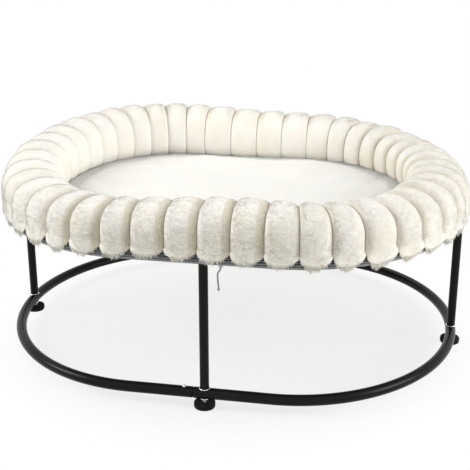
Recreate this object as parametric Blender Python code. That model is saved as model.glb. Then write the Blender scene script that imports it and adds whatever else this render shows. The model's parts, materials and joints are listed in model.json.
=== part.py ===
"""Elevated cat bed: an oval tube frame on four levelling feet carries a canvas sling,
a channel-tufted plush bolster and a plush seat pad.

Metres, +Z up. The origin is on the floor, under the middle of the bed. +X is the long way,
and the front of the bed faces -Y.
"""

import bpy
import bmesh
from math import cos, hypot, pi, radians, sin
from mathutils import Matrix, Vector

MM = 0.001

# Clearance between pieces that touch on the real bed
GAP = 0.3 * MM
CUT_OVERRUN = 2.0 * MM

# Tube rings: the base ring and the top ring have the same plan
RING_HALF_LENGTH = 350.0 * MM
RING_HALF_WIDTH = 276.0 * MM
RING_HALF_STRAIGHT = 101.5 * MM
RING_TUBE_RADIUS = 8.0 * MM
RING_TUBE_WALL = 1.5 * MM
TOP_RING_RISE = 205.0 * MM
SEAM_OFFSET = 8.0 * MM
LEG_OFFSET = 8.5 * MM
SEAT_DEPTH = 0.9 * MM
SEAT_LENGTH = 17.0 * MM
QUARTER_STEPS = 10
LENGTH_STEPS = 160
TUBE_SIDES = 10
SHARP_ANGLE = radians(36.0)

# Spigots that join the two halves of a ring
SPIGOT_WALL = 1.0 * MM
SPIGOT_BUTTON_SIDE = 32.0 * MM
SPIGOT_LEG_SIDE = 28.5 * MM

# Spring buttons of the base ring
BUTTON_RADIUS = 2.5 * MM
BUTTON_PROUD = 2.3 * MM
BUTTON_FROM_SEAM = 12.5 * MM
BUTTON_FLANGE_RADIUS = 3.4 * MM
BUTTON_FLANGE_HEIGHT = 0.8 * MM
BUTTON_DOME_HEIGHT = 1.0 * MM
BUTTON_DOME_SHARES = ((1.0, 0.0), (0.71, 0.71), (0.31, 1.0))
BUTTON_SIDES = 12
SPRING_THICKNESS = 0.5 * MM
SPRING_WIDTH = 4.0 * MM
SPRING_LENGTH = 18.0 * MM

# Legs and the flanged inserts at both of their ends
LEG_TUBE_RADIUS = 6.5 * MM
LEG_TUBE_WALL = 1.2 * MM
INSERT_FLANGE_RADIUS = 7.8 * MM
INSERT_FLANGE_HEIGHT = 1.2 * MM
INSERT_SHANK_LENGTH = 15.0 * MM
SCREW_RADIUS = 3.0 * MM
SCREW_HEAD_RADIUS = 5.2 * MM
SCREW_HEAD_HEIGHT = 1.9 * MM
SCREW_LENGTH = 29.0 * MM
SCREW_SIDES = 12
HEX_SOCKET_RADIUS = 2.0 * MM
HEX_SOCKET_DEPTH = 1.2 * MM

# Levelling feet
FOOT_DISC_RADIUS = 15.2 * MM
FOOT_DISC_HEIGHT = 9.0 * MM
FOOT_DISC_BEVEL = 1.0 * MM
FOOT_KNURL_DEPTH = 0.7 * MM
FOOT_KNURLS = 16
FOOT_SOCKET_DEPTH = 6.0 * MM
FOOT_STEM_SHOWING = 1.8 * MM
FOOT_STUD_LENGTH = 38.0 * MM
LOCK_NUT_HEIGHT = 3.2 * MM
LOCK_NUT_ACROSS_FLATS = 10.0 * MM

# Canvas sling and the sleeve at its edge, which goes round the top ring
SLEEVE_EASE = 0.4 * MM
SLEEVE_CLOTH = 1.2 * MM
SLING_HALF_THICKNESS = 0.75 * MM
SLING_HEM = 14.0 * MM
SLING_FLAT = 40.0 * MM
SLING_SAG = 17.0 * MM
SLING_RING_SHARES = (0.45, 0.8)
SLEEVE_LEG_HOLE_RADIUS = 9.0 * MM
SLEEVE_SCREW_HOLE_RADIUS = 6.0 * MM

# Zip round the outside of the sleeve
ZIP_TAPE_THICKNESS = 0.7 * MM
ZIP_TAPE_HEIGHT = 7.0 * MM
ZIP_TAPE_DROP = 9.0 * MM
SLIDER_LENGTH = 9.0 * MM
SLIDER_PLATE = 1.0 * MM
SLIDER_OUTER_HEIGHT = 4.4 * MM
SLIDER_INNER_HEIGHT = 3.6 * MM
SLIDER_X = 34.5 * MM
CORD_RADIUS = 1.1 * MM
CORD_KNOT_RADIUS = 1.8 * MM
CORD_KNOT_HEIGHT = 4.0 * MM
CORD_ROUTE = (
    (0.0 * MM, 0.0 * MM, 0.0 * MM),
    (-0.5 * MM, -0.1 * MM, -2.2 * MM),
    (-1.8 * MM, -0.3 * MM, -4.6 * MM),
    (-3.2 * MM, -0.4 * MM, -6.9 * MM),
    (-4.1 * MM, -0.5 * MM, -9.8 * MM),
    (-4.2 * MM, -0.5 * MM, -13.5 * MM),
    (-4.0 * MM, -0.4 * MM, -17.5 * MM),
    (-3.7 * MM, -0.3 * MM, -21.5 * MM),
    (-3.3 * MM, -0.1 * MM, -25.5 * MM),
    (-3.0 * MM, 0.0 * MM, -29.3 * MM),
)

# Bolster: puffed lobes between valleys that are sewn down
BOLSTER_INSET = 34.4 * MM
BOLSTER_HALF_WIDTH = 49.7 * MM
BOLSTER_RISE = 74.8 * MM
BOLSTER_LOBES = 44
LOBE_SEAM_INSET = 10.0 * MM
LOBE_CREST_SHARES = (0.27, 0.73)
LIP_THICKNESS = 0.8 * MM
LIP_DROP = 1.5 * MM
VALLEY_DEPTH = 9.0 * MM
VALLEY_SADDLE_INSET = 3.0 * MM
VALLEY_LIP_HEIGHT = 5.4 * MM
SADDLE_HALF_WIDTH = 6.0 * MM
FOOT_OF_WALL_SHARE = 0.8
BULGE_HEIGHT_SHARE = 0.37
SHOULDER_HEIGHT_SHARE = 0.84
SHOULDER_WIDTH_SHARE = 0.74
VALLEY_CENTRE_SHARE = 0.413
RIDGE_SLOPE_X_SHARE = -0.0161
RIDGE_SLOPE_Y_SHARE = 0.0444
RIDGE_TWIST_SHARE = -0.0417

# Seat pad
PAD_EDGE_INSET = 79.0 * MM
PAD_SHOULDER_INSET = 87.0 * MM
PAD_EDGE_HEIGHT = 4.5 * MM
PAD_SHOULDER_HEIGHT = 7.3 * MM
PAD_CROWN = 9.0 * MM
PAD_CROWN_SHARES = (0.92, 0.72, 0.45, 0.2)

# Heights, radii and reaches that follow from the sizes above
SEAT_HEIGHT = RING_TUBE_RADIUS - SEAT_DEPTH
BASE_Z = FOOT_DISC_HEIGHT + FOOT_STEM_SHOWING + LOCK_NUT_HEIGHT + GAP + SEAT_HEIGHT
TOP_Z = BASE_Z + TOP_RING_RISE
RING_BORE_RADIUS = RING_TUBE_RADIUS - RING_TUBE_WALL
SPIGOT_RADIUS = RING_BORE_RADIUS - GAP
SPIGOT_BORE_RADIUS = SPIGOT_RADIUS - SPIGOT_WALL
INSERT_SHANK_RADIUS = LEG_TUBE_RADIUS - LEG_TUBE_WALL - GAP
SCREW_HOLE_RADIUS = SCREW_RADIUS + GAP
INSERT_FLANGE_REACH = SEAT_HEIGHT + GAP + INSERT_FLANGE_HEIGHT
SLEEVE_TUNNEL_RADIUS = RING_TUBE_RADIUS + SLEEVE_EASE
SLEEVE_RADIUS = SLEEVE_TUNNEL_RADIUS + SLEEVE_CLOTH
TAPE_INNER = SLEEVE_RADIUS + GAP
TAPE_OUTER = TAPE_INNER + ZIP_TAPE_THICKNESS
LIP_INNER = TAPE_OUTER + LIP_THICKNESS
SLIDER_FLOOR = -ZIP_TAPE_DROP - GAP - SLIDER_PLATE
SLIDER_INNER = TAPE_INNER - GAP - SLIDER_PLATE
SLIDER_OUTER = TAPE_OUTER + GAP + SLIDER_PLATE
CENTRE = Vector((0.0, 0.0, 0.0))


def principled(name, colour, roughness, metallic=0.0):
    """A plain material with one colour."""
    material = bpy.data.materials.new(name)
    material.use_nodes = True
    shader = material.node_tree.nodes["Principled BSDF"]
    shader.inputs["Base Color"].default_value = (*colour, 1.0)
    shader.inputs["Roughness"].default_value = roughness
    shader.inputs["Metallic"].default_value = metallic
    material.diffuse_color = (*colour, 1.0)
    return material


def finishes():
    """Every finish of the bed, by name."""
    return {
        "powder_black": principled("powder_black", (0.012, 0.012, 0.013), 0.45),
        "zinc": principled("zinc", (0.62, 0.62, 0.60), 0.3, 1.0),
        "foot_black": principled("foot_black", (0.010, 0.010, 0.010), 0.6),
        "spring_steel": principled("spring_steel", (0.42, 0.42, 0.43), 0.35, 1.0),
        "canvas_grey": principled("canvas_grey", (0.27, 0.275, 0.285), 0.9),
        "zip_black": principled("zip_black", (0.03, 0.03, 0.032), 0.8),
        "cord_grey": principled("cord_grey", (0.33, 0.32, 0.29), 0.85),
        "plush_cream": principled("plush_cream", (0.78, 0.76, 0.68), 0.95),
        "plush_white": principled("plush_white", (0.82, 0.81, 0.75), 0.95),
    }


def make_object(name, mesh, material):
    """Put a mesh into the scene under its own name, shaded smooth but for its sharp edges."""
    if material is not None and not mesh.materials:
        mesh.materials.append(material)
    mesh.shade_smooth()
    mesh.set_sharp_from_angle(angle=SHARP_ANGLE)
    piece = bpy.data.objects.new(name, mesh)
    bpy.context.scene.collection.objects.link(piece)
    return piece


def skin(name, rings, wrap=False):
    """A closed mesh through rings of points. The two end rings are filled, or meet if wrap is set."""
    shape = bmesh.new()
    loops = [[shape.verts.new(point) for point in ring] for ring in rings]
    count = len(loops[0])
    pairs = list(zip(loops, loops[1:]))
    if wrap:
        pairs.append((loops[-1], loops[0]))
    else:
        shape.faces.new(loops[0])
        shape.faces.new(loops[-1])
    for near, far in pairs:
        for index in range(count):
            following = (index + 1) % count
            shape.faces.new((near[index], near[following], far[following], far[index]))
    bmesh.ops.recalc_face_normals(shape, faces=shape.faces)
    mesh = bpy.data.meshes.new(name)
    shape.to_mesh(mesh)
    shape.free()
    return mesh


def circle(radius, height, sides):
    """Points of a circle about the Z axis."""
    angles = [2.0 * pi * k / sides for k in range(sides)]
    return [Vector((radius * cos(angle), radius * sin(angle), height)) for angle in angles]


def turned(name, profile, sides, hollow=False):
    """A turned mesh about Z from (radius, height) points."""
    return skin(name, [circle(radius, height, sides) for radius, height in profile], wrap=hollow)


def cutter(name, mesh, place):
    """A shape that only cuts others."""
    tool = make_object(name, mesh, None)
    tool.matrix_world = place
    tool.hide_render = True
    tool.display_type = "WIRE"
    return tool


def cut(piece, tool):
    """Cut one shape out of a piece."""
    step = piece.modifiers.new(tool.name, "BOOLEAN")
    step.operation = "DIFFERENCE"
    step.solver = "EXACT"
    step.object = tool


def box_mesh(name, low, high):
    """A box between two corners."""
    rings = [
        [Vector((low[0], low[1], z)), Vector((high[0], low[1], z)),
         Vector((high[0], high[1], z)), Vector((low[0], high[1], z))]
        for z in (low[2], high[2])
    ]
    return skin(name, rings)


def quarter(step_share):
    """Point and outward normal on the +X, +Y quarter of the ring's curved end, 0 at the +X tip."""
    angle = 0.5 * pi * step_share
    curve_length = RING_HALF_LENGTH - RING_HALF_STRAIGHT
    point = Vector((RING_HALF_STRAIGHT + curve_length * cos(angle), RING_HALF_WIDTH * sin(angle), 0.0))
    normal = Vector((RING_HALF_WIDTH * cos(angle), curve_length * sin(angle), 0.0)).normalized()
    return point, normal


def mirrored(pair, x_sign, y_sign):
    """A point and its normal in another quarter."""
    return tuple(Vector((v.x * x_sign, v.y * y_sign, v.z)) for v in pair)


def oval(steps=QUARTER_STEPS):
    """Points and outward normals round the ring's centre line, anticlockwise from the +X tip."""
    first = [quarter(k / steps) for k in range(steps + 1)]
    second = [mirrored(pair, -1.0, 1.0) for pair in reversed(first)]
    third = [mirrored(pair, -1.0, -1.0) for pair in first[1:]]
    fourth = [mirrored(pair, 1.0, -1.0) for pair in reversed(first[1:])]
    return first + second + third + fourth


def spaced_oval(count, inset, offsets):
    """Points and normals of the ring's centre line, evenly spaced along a line inside it.

    offsets are shares of one space, so several stations can stand in each space.
    """
    fine = oval(LENGTH_STEPS)
    line = [point - normal * inset for point, normal in fine]
    travelled = [0.0]
    for index, point in enumerate(line):
        following = line[(index + 1) % len(line)]
        travelled.append(travelled[-1] + (following - point).length)
    stations = []
    index = 0
    for number in range(count):
        for offset in offsets:
            target = travelled[-1] * (number + offset) / count
            while travelled[index + 1] < target:
                index += 1
            share = (target - travelled[index]) / (travelled[index + 1] - travelled[index])
            here, after = fine[index], fine[(index + 1) % len(fine)]
            point = here[0].lerp(after[0], share)
            normal = here[1].lerp(after[1], share).normalized()
            stations.append((point, normal))
    return stations


def tube_section(point, normal, radius):
    """Points round a tube at one station of an oval."""
    ring = []
    for k in range(TUBE_SIDES):
        angle = 2.0 * pi * (k + 0.5) / TUBE_SIDES
        ring.append(point + normal * (radius * cos(angle)) + Vector((0.0, 0.0, radius * sin(angle))))
    return ring


def half_ring_path():
    """Stations of the right half of a ring, from its front seam by the +X tip to its back seam."""
    first = [quarter(k / QUARTER_STEPS) for k in range(QUARTER_STEPS + 1)]
    front = [mirrored(pair, 1.0, -1.0) for pair in reversed(first)]
    seam_gap = 0.5 * GAP
    front_seam = (Vector((seam_gap - SEAM_OFFSET, -RING_HALF_WIDTH, 0.0)), Vector((0.0, -1.0, 0.0)))
    back_seam = (Vector((SEAM_OFFSET + seam_gap, RING_HALF_WIDTH, 0.0)), Vector((0.0, 1.0, 0.0)))
    return [front_seam] + front + first[1:] + [back_seam]


def half_ring_mesh(name):
    """The bent hollow tube of one half of a ring."""
    path = half_ring_path()
    outer = [tube_section(point, normal, RING_TUBE_RADIUS) for point, normal in path]
    inner = [tube_section(point, normal, RING_BORE_RADIUS) for point, normal in path]
    return skin(name, outer + list(reversed(inner)), wrap=True)


def leg_places():
    """Each leg's name, its place in plan, the turn of the tube under it and the ring half it is on."""
    return (
        ("left", Vector((-RING_HALF_LENGTH, 0.0, 0.0)), 0.5 * pi, "left"),
        ("front", Vector((LEG_OFFSET, -RING_HALF_WIDTH, 0.0)), 0.0, "right"),
        ("right", Vector((RING_HALF_LENGTH, 0.0, 0.0)), 0.5 * pi, "right"),
        ("back", Vector((-LEG_OFFSET, RING_HALF_WIDTH, 0.0)), 0.0, "left"),
    )


def place_of(point, height, turn=0.0):
    """The transform of a piece at a place in plan and a height."""
    return Matrix.Translation((point.x, point.y, height)) @ Matrix.Rotation(turn, 4, "Z")


def seat_cutter(name, point, height, turn, sign):
    """The pressed flat on the tube where an insert or a nut sits, above or below its centre."""
    reach = RING_TUBE_RADIUS + CUT_OVERRUN
    levels = sorted((sign * SEAT_HEIGHT, sign * reach))
    half_length = 0.5 * SEAT_LENGTH
    mesh = box_mesh(name, (-half_length, -reach, levels[0]), (half_length, reach, levels[1]))
    return cutter(name, mesh, place_of(point, height, turn))


def drill_cutter(name, point, height, radius, low, high):
    """A round vertical hole."""
    return cutter(name, turned(name, ((radius, low), (radius, high)), SCREW_SIDES), place_of(point, height))


def button_places():
    """Each spring button's name, its place in plan and which way the leg side lies from it."""
    reach = SEAM_OFFSET + BUTTON_FROM_SEAM
    return (
        ("front", Vector((-reach, -RING_HALF_WIDTH, 0.0)), 0.0),
        ("back", Vector((reach, RING_HALF_WIDTH, 0.0)), pi),
    )


def build_ring(level_name, height, is_base, finish):
    """Both halves of one ring with their seats and holes."""
    halves = {}
    for side, turn in (("right", 0.0), ("left", pi)):
        name = f"{level_name}_tube_{side}"
        piece = make_object(name, half_ring_mesh(name), finish["powder_black"])
        piece.matrix_world = place_of(CENTRE, height, turn)
        halves[side] = piece
    reach = RING_TUBE_RADIUS + CUT_OVERRUN
    for leg, point, turn, side in leg_places():
        tag = f"{level_name}_{leg}"
        half = halves[side]
        for sign, where in ((1.0, "upper"), (-1.0, "lower")):
            cut(half, seat_cutter(f"cut_seat_{where}_{tag}", point, height, turn, sign))
        cut(half, drill_cutter(f"cut_hole_{tag}", point, height, SCREW_HOLE_RADIUS, -reach, reach))
    if is_base:
        for place, point, _ in button_places():
            half = halves["left" if place == "front" else "right"]
            hole = drill_cutter(f"cut_button_{place}", point, height, BUTTON_RADIUS + GAP, 0.0, reach)
            cut(half, hole)


def build_spigots(level_name, height, is_base, finish):
    """The inner connectors across both seams of a ring."""
    low, high = -SPIGOT_BUTTON_SIDE, SPIGOT_LEG_SIDE
    reach = SPIGOT_RADIUS + CUT_OVERRUN
    for place, turn in (("front", 0.0), ("back", pi)):
        name = f"{level_name}_spigot_{place}"
        seam = Vector((-SEAM_OFFSET, -RING_HALF_WIDTH, 0.0))
        seam.rotate(Matrix.Rotation(turn, 4, "Z"))
        outward = Vector((0.0, -1.0, 0.0))
        outer = [tube_section(Vector((x, 0.0, 0.0)), outward, SPIGOT_RADIUS) for x in (low, high)]
        inner = [tube_section(Vector((x, 0.0, 0.0)), outward, SPIGOT_BORE_RADIUS) for x in (high, low)]
        spigot = make_object(name, skin(name, outer + inner, wrap=True), finish["powder_black"])
        spigot.matrix_world = place_of(seam, height, turn)
        leg = Vector((SEAM_OFFSET + LEG_OFFSET, 0.0, 0.0))
        leg.rotate(Matrix.Rotation(turn, 4, "Z"))
        hole = drill_cutter(f"cut_{name}_screw", seam + leg, height, SCREW_HOLE_RADIUS, -reach, reach)
        cut(spigot, hole)
        if is_base:
            button = Vector((-BUTTON_FROM_SEAM, 0.0, 0.0))
            button.rotate(Matrix.Rotation(turn, 4, "Z"))
            spot = seam + button
            hole = drill_cutter(f"cut_{name}_button", spot, height, BUTTON_RADIUS + GAP, 0.0, reach)
            cut(spigot, hole)


def bore_height(radius, half_width):
    """How far a flat strip or disc of this half width can rise inside a round bore."""
    facet = radius * cos(pi / TUBE_SIDES)
    return (facet ** 2 - half_width ** 2) ** 0.5


def build_buttons(finish):
    """The snap buttons of the base ring and the leaf springs under them."""
    flange_top = bore_height(SPIGOT_BORE_RADIUS, BUTTON_FLANGE_RADIUS) - GAP
    flange_bottom = flange_top - BUTTON_FLANGE_HEIGHT
    dome_foot = RING_TUBE_RADIUS + BUTTON_PROUD - BUTTON_DOME_HEIGHT
    profile = [
        (BUTTON_FLANGE_RADIUS, flange_bottom),
        (BUTTON_FLANGE_RADIUS, flange_top),
        (BUTTON_RADIUS, flange_top),
    ]
    for out, up in BUTTON_DOME_SHARES:
        profile.append((BUTTON_RADIUS * out, dome_foot + BUTTON_DOME_HEIGHT * up))
    spring_foot = GAP - bore_height(SPIGOT_BORE_RADIUS, 0.5 * SPRING_WIDTH)
    spring_top = flange_bottom - GAP
    for place, point, turn in button_places():
        name = f"spring_button_{place}"
        button = make_object(name, turned(name, profile, BUTTON_SIDES), finish["zinc"])
        button.matrix_world = place_of(point, BASE_Z)
        name = f"button_spring_{place}"
        half = 0.5 * SPRING_WIDTH
        bend = -SPRING_LENGTH
        heel = BUTTON_FLANGE_RADIUS
        outline = (
            (heel, spring_foot), (bend, spring_foot),
            (bend - SPRING_THICKNESS, spring_foot + SPRING_THICKNESS),
            (-heel, spring_top), (heel, spring_top),
            (heel, spring_top - SPRING_THICKNESS), (-heel, spring_top - SPRING_THICKNESS),
            (bend + SPRING_THICKNESS, spring_foot + SPRING_THICKNESS),
            (heel, spring_foot + SPRING_THICKNESS),
        )
        rings = [[Vector((x, y, z)) for x, z in outline] for y in (-half, half)]
        spring = make_object(name, skin(name, rings), finish["spring_steel"])
        spring.matrix_world = place_of(point, BASE_Z, turn)


def insert_mesh(name, sign):
    """A flanged threaded insert. Its flange faces the ring and its shank goes into the leg."""
    near = SEAT_HEIGHT + GAP
    flange = near + INSERT_FLANGE_HEIGHT
    end = flange + INSERT_SHANK_LENGTH
    profile = (
        (SCREW_HOLE_RADIUS, sign * near),
        (INSERT_FLANGE_RADIUS, sign * near),
        (INSERT_FLANGE_RADIUS, sign * flange),
        (INSERT_SHANK_RADIUS, sign * flange),
        (INSERT_SHANK_RADIUS, sign * end),
        (SCREW_HOLE_RADIUS, sign * end),
    )
    return turned(name, profile, SCREW_SIDES, hollow=True)


def build_legs(finish):
    """The four legs and the inserts at their ends."""
    low = BASE_Z + INSERT_FLANGE_REACH + GAP
    high = TOP_Z - INSERT_FLANGE_REACH - GAP
    bore = LEG_TUBE_RADIUS - LEG_TUBE_WALL
    profile = ((LEG_TUBE_RADIUS, low), (LEG_TUBE_RADIUS, high), (bore, high), (bore, low))
    for leg, point, _, _ in leg_places():
        name = f"leg_tube_{leg}"
        tube = make_object(name, turned(name, profile, SCREW_SIDES, hollow=True), finish["powder_black"])
        tube.matrix_world = place_of(point, 0.0)
        for end, sign, height in (("lower", 1.0, BASE_Z), ("upper", -1.0, TOP_Z)):
            name = f"leg_insert_{end}_{leg}"
            insert = make_object(name, insert_mesh(name, sign), finish["zinc"])
            insert.matrix_world = place_of(point, height)


def build_top_screws(finish):
    """The low-headed screws that hold the top ring down on the legs."""
    head_bottom = SEAT_HEIGHT + GAP
    head_top = head_bottom + SCREW_HEAD_HEIGHT
    profile = (
        (SCREW_RADIUS, head_bottom - SCREW_LENGTH),
        (SCREW_RADIUS, head_bottom),
        (SCREW_HEAD_RADIUS, head_bottom),
        (SCREW_HEAD_RADIUS, head_top),
        (HEX_SOCKET_RADIUS, head_top),
        (HEX_SOCKET_RADIUS, head_top - HEX_SOCKET_DEPTH),
    )
    for leg, point, _, _ in leg_places():
        name = f"top_screw_{leg}"
        screw = make_object(name, turned(name, profile, SCREW_SIDES), finish["zinc"])
        screw.matrix_world = place_of(point, TOP_Z)


def knurled(radius, depth, height):
    """Points of a knurled outline: crests and grooves in turn."""
    sides = 2 * FOOT_KNURLS
    return [
        Vector(((radius - depth * (k % 2)) * cos(2.0 * pi * k / sides),
                (radius - depth * (k % 2)) * sin(2.0 * pi * k / sides), height))
        for k in range(sides)
    ]


def build_feet(finish):
    """The knurled discs, their studs and the nuts that lock them under the ring."""
    sides = 2 * FOOT_KNURLS
    socket = SCREW_RADIUS + GAP
    chamfered = FOOT_DISC_RADIUS - FOOT_KNURL_DEPTH - FOOT_DISC_BEVEL
    rings = [
        circle(chamfered, 0.0, sides),
        knurled(FOOT_DISC_RADIUS, FOOT_KNURL_DEPTH, FOOT_DISC_BEVEL),
        knurled(FOOT_DISC_RADIUS, FOOT_KNURL_DEPTH, FOOT_DISC_HEIGHT - FOOT_DISC_BEVEL),
        circle(chamfered, FOOT_DISC_HEIGHT, sides),
        circle(socket, FOOT_DISC_HEIGHT, sides),
        circle(socket, FOOT_DISC_HEIGHT - FOOT_SOCKET_DEPTH, sides),
    ]
    stud_low = FOOT_DISC_HEIGHT - FOOT_SOCKET_DEPTH + GAP
    stud = ((SCREW_RADIUS, stud_low), (SCREW_RADIUS, stud_low + FOOT_STUD_LENGTH))
    nut_low = FOOT_DISC_HEIGHT + FOOT_STEM_SHOWING
    nut_high = nut_low + LOCK_NUT_HEIGHT
    for leg, point, _, _ in leg_places():
        name = f"foot_disc_{leg}"
        disc = make_object(name, skin(name, rings), finish["foot_black"])
        name = f"foot_stud_{leg}"
        stem = make_object(name, turned(name, stud, SCREW_SIDES), finish["zinc"])
        name = f"foot_lock_nut_{leg}"
        nut_rings = [hexagon(nut_low), hexagon(nut_high),
                     circle(SCREW_HOLE_RADIUS, nut_high, SCREW_SIDES),
                     circle(SCREW_HOLE_RADIUS, nut_low, SCREW_SIDES)]
        nut = make_object(name, skin(name, nut_rings, wrap=True), finish["zinc"])
        for piece in (disc, stem, nut):
            piece.matrix_world = place_of(point, 0.0)


def hexagon(height):
    """The corners and the middles of the flats of a nut, as many points as its bore has."""
    flat = 0.5 * LOCK_NUT_ACROSS_FLATS
    corner = flat / cos(pi / 6.0)
    return [
        Vector(((corner if k % 2 == 0 else flat) * cos(2.0 * pi * k / SCREW_SIDES),
                (corner if k % 2 == 0 else flat) * sin(2.0 * pi * k / SCREW_SIDES), height))
        for k in range(SCREW_SIDES)
    ]


def sling_level(share):
    """Height of the sling's middle surface above the top ring's centre. Share 1 is where its sag starts."""
    return -SLING_SAG * (1.0 - share ** 2)


def flat_edge():
    """Points of the line where the sling starts to sag."""
    return [point - normal * SLING_FLAT for point, normal in oval()]


def sling_ring(share, side):
    """One ring of the sagging panel, on its upper or lower side."""
    height = sling_level(share) + side * SLING_HALF_THICKNESS
    return [Vector((point.x * share, point.y * share, height)) for point in flat_edge()]


def build_sling(finish):
    """The canvas panel, whose edge is a sleeve round the top ring with a hole for each leg."""
    stations = oval()
    shares = SLING_RING_SHARES + (1.0,)
    hem_top = [point - normal * SLING_HEM + Vector((0.0, 0.0, SLING_HALF_THICKNESS))
               for point, normal in stations]
    hem_bottom = [point - normal * SLING_HEM - Vector((0.0, 0.0, SLING_HALF_THICKNESS))
                  for point, normal in stations]
    sleeve = []
    inner_side = TUBE_SIDES // 2 - 1
    for k in range(TUBE_SIDES):
        corner = (inner_side - k) % TUBE_SIDES
        sleeve.append([tube_section(point, normal, SLEEVE_RADIUS)[corner] for point, normal in stations])
    rings = [sling_ring(share, 1.0) for share in shares] + [hem_top] + sleeve
    rings += [hem_bottom] + [sling_ring(share, -1.0) for share in reversed(shares)]
    sling = make_object("canvas_sling", skin("canvas_sling", rings), finish["canvas_grey"])
    sling.matrix_world = place_of(CENTRE, TOP_Z)
    tunnel_rings = [tube_section(point, normal, SLEEVE_TUNNEL_RADIUS) for point, normal in stations]
    tunnel = cutter("cut_sleeve_tunnel", skin("cut_sleeve_tunnel", tunnel_rings, wrap=True),
                    sling.matrix_world)
    cut(sling, tunnel)
    for leg, point, _, _ in leg_places():
        reach = SLEEVE_RADIUS + CUT_OVERRUN
        for end, radius, low, high in (
            ("leg", SLEEVE_LEG_HOLE_RADIUS, -reach, 0.0),
            ("screw", SLEEVE_SCREW_HOLE_RADIUS, 0.0, reach),
        ):
            cut(sling, drill_cutter(f"cut_sleeve_{end}_{leg}", point, TOP_Z, radius, low, high))


def build_zip_tape(finish):
    """The zip tape that stands round the outside of the sleeve."""
    tape_low = -ZIP_TAPE_DROP
    tape_high = tape_low + ZIP_TAPE_HEIGHT
    corners = (
        (TAPE_INNER, tape_low), (TAPE_OUTER, tape_low),
        (TAPE_OUTER, tape_high), (TAPE_INNER, tape_high),
    )
    rings = [
        [point + normal * out + Vector((0.0, 0.0, height)) for point, normal in oval()]
        for out, height in corners
    ]
    tape = make_object("zip_tape", skin("zip_tape", rings, wrap=True), finish["zip_black"])
    tape.matrix_world = place_of(CENTRE, TOP_Z)


def build_zip_slider(finish):
    """The slider, which grips the lower edge of the tape from both sides."""
    floor_top = SLIDER_FLOOR + SLIDER_PLATE
    outer_in = TAPE_OUTER + GAP
    inner_out = TAPE_INNER - GAP
    section = (
        (SLIDER_INNER, SLIDER_FLOOR), (SLIDER_OUTER, SLIDER_FLOOR),
        (SLIDER_OUTER, SLIDER_FLOOR + SLIDER_OUTER_HEIGHT), (outer_in, SLIDER_FLOOR + SLIDER_OUTER_HEIGHT),
        (outer_in, floor_top), (inner_out, floor_top),
        (inner_out, SLIDER_FLOOR + SLIDER_INNER_HEIGHT), (SLIDER_INNER, SLIDER_FLOOR + SLIDER_INNER_HEIGHT),
    )
    half = 0.5 * SLIDER_LENGTH
    rings = [[Vector((x, -out, height)) for out, height in section] for x in (-half, half)]
    slider = make_object("zip_slider", skin("zip_slider", rings), finish["spring_steel"])
    slider.matrix_world = place_of(Vector((SLIDER_X, -RING_HALF_WIDTH, 0.0)), TOP_Z)


def build_zip_pull(finish):
    """The cord that hangs from the slider, and the knot at its end."""
    hang_out = RING_HALF_WIDTH + 0.5 * (SLIDER_INNER + SLIDER_OUTER)
    hang = Vector((SLIDER_X, -hang_out, TOP_Z + SLIDER_FLOOR - GAP))
    route = [Vector(point) for point in CORD_ROUTE]
    curve = bpy.data.curves.new("zip_pull_cord", "CURVE")
    curve.dimensions = "3D"
    curve.bevel_depth = CORD_RADIUS
    curve.bevel_resolution = 2
    curve.use_fill_caps = True
    spline = curve.splines.new("POLY")
    spline.points.add(len(route) - 1)
    for target, point in zip(spline.points, route):
        target.co = (*point, 1.0)
    curve.materials.append(finish["cord_grey"])
    cord = bpy.data.objects.new("zip_pull_cord", curve)
    bpy.context.scene.collection.objects.link(cord)
    cord.matrix_world = Matrix.Translation(hang)

    knot_top = -GAP
    middle = knot_top - 0.5 * CORD_KNOT_HEIGHT
    profile = (
        (CORD_RADIUS, knot_top - CORD_KNOT_HEIGHT), (CORD_KNOT_RADIUS, middle - 0.5 * CORD_RADIUS),
        (CORD_KNOT_RADIUS, middle + 0.5 * CORD_RADIUS), (CORD_RADIUS, knot_top),
    )
    knot = make_object("zip_pull_knot", turned("zip_pull_knot", profile, SCREW_SIDES), finish["cord_grey"])
    knot.matrix_world = Matrix.Translation(hang + route[-1])


def ridge_rise(point):
    """Height of the bolster's ridge above the top ring's centre: the filling stands highest at the back."""
    slope = RIDGE_SLOPE_X_SHARE * point.x + RIDGE_SLOPE_Y_SHARE * point.y
    return BOLSTER_RISE + slope + RIDGE_TWIST_SHARE * point.x * point.y / RING_HALF_LENGTH


def lobe_section(rise, is_valley):
    """Section of the bolster as (distance outwards from the ring's centre line, height) points."""
    width = BOLSTER_HALF_WIDTH
    seat = SLING_HALF_THICKNESS + GAP
    saddle = SLEEVE_RADIUS + GAP
    centre = (-BOLSTER_INSET, rise * VALLEY_CENTRE_SHARE)
    round_points = [
        (width, rise * BULGE_HEIGHT_SHARE),
        (width * SHOULDER_WIDTH_SHARE, rise * SHOULDER_HEIGHT_SHARE),
        (0.0, rise),
        (-width * SHOULDER_WIDTH_SHARE, rise * SHOULDER_HEIGHT_SHARE),
        (-width, rise * BULGE_HEIGHT_SHARE),
    ]
    upper = [(out - BOLSTER_INSET, height) for out, height in round_points]
    foot = (-BOLSTER_INSET - width * FOOT_OF_WALL_SHARE, seat)
    if is_valley:
        pulled = []
        for out, height in upper:
            reach = hypot(out - centre[0], height - centre[1])
            share = 1.0 - VALLEY_DEPTH / reach
            pulled.append((centre[0] + (out - centre[0]) * share, centre[1] + (height - centre[1]) * share))
        lip = [(LIP_INNER - VALLEY_SADDLE_INSET, saddle), (LIP_INNER, VALLEY_LIP_HEIGHT)]
        return [foot, (-SADDLE_HALF_WIDTH, saddle)] + lip + pulled
    lip = [(LIP_INNER, saddle), (LIP_INNER, -LIP_DROP)]
    return [foot, (-SADDLE_HALF_WIDTH, saddle)] + lip + upper


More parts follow.
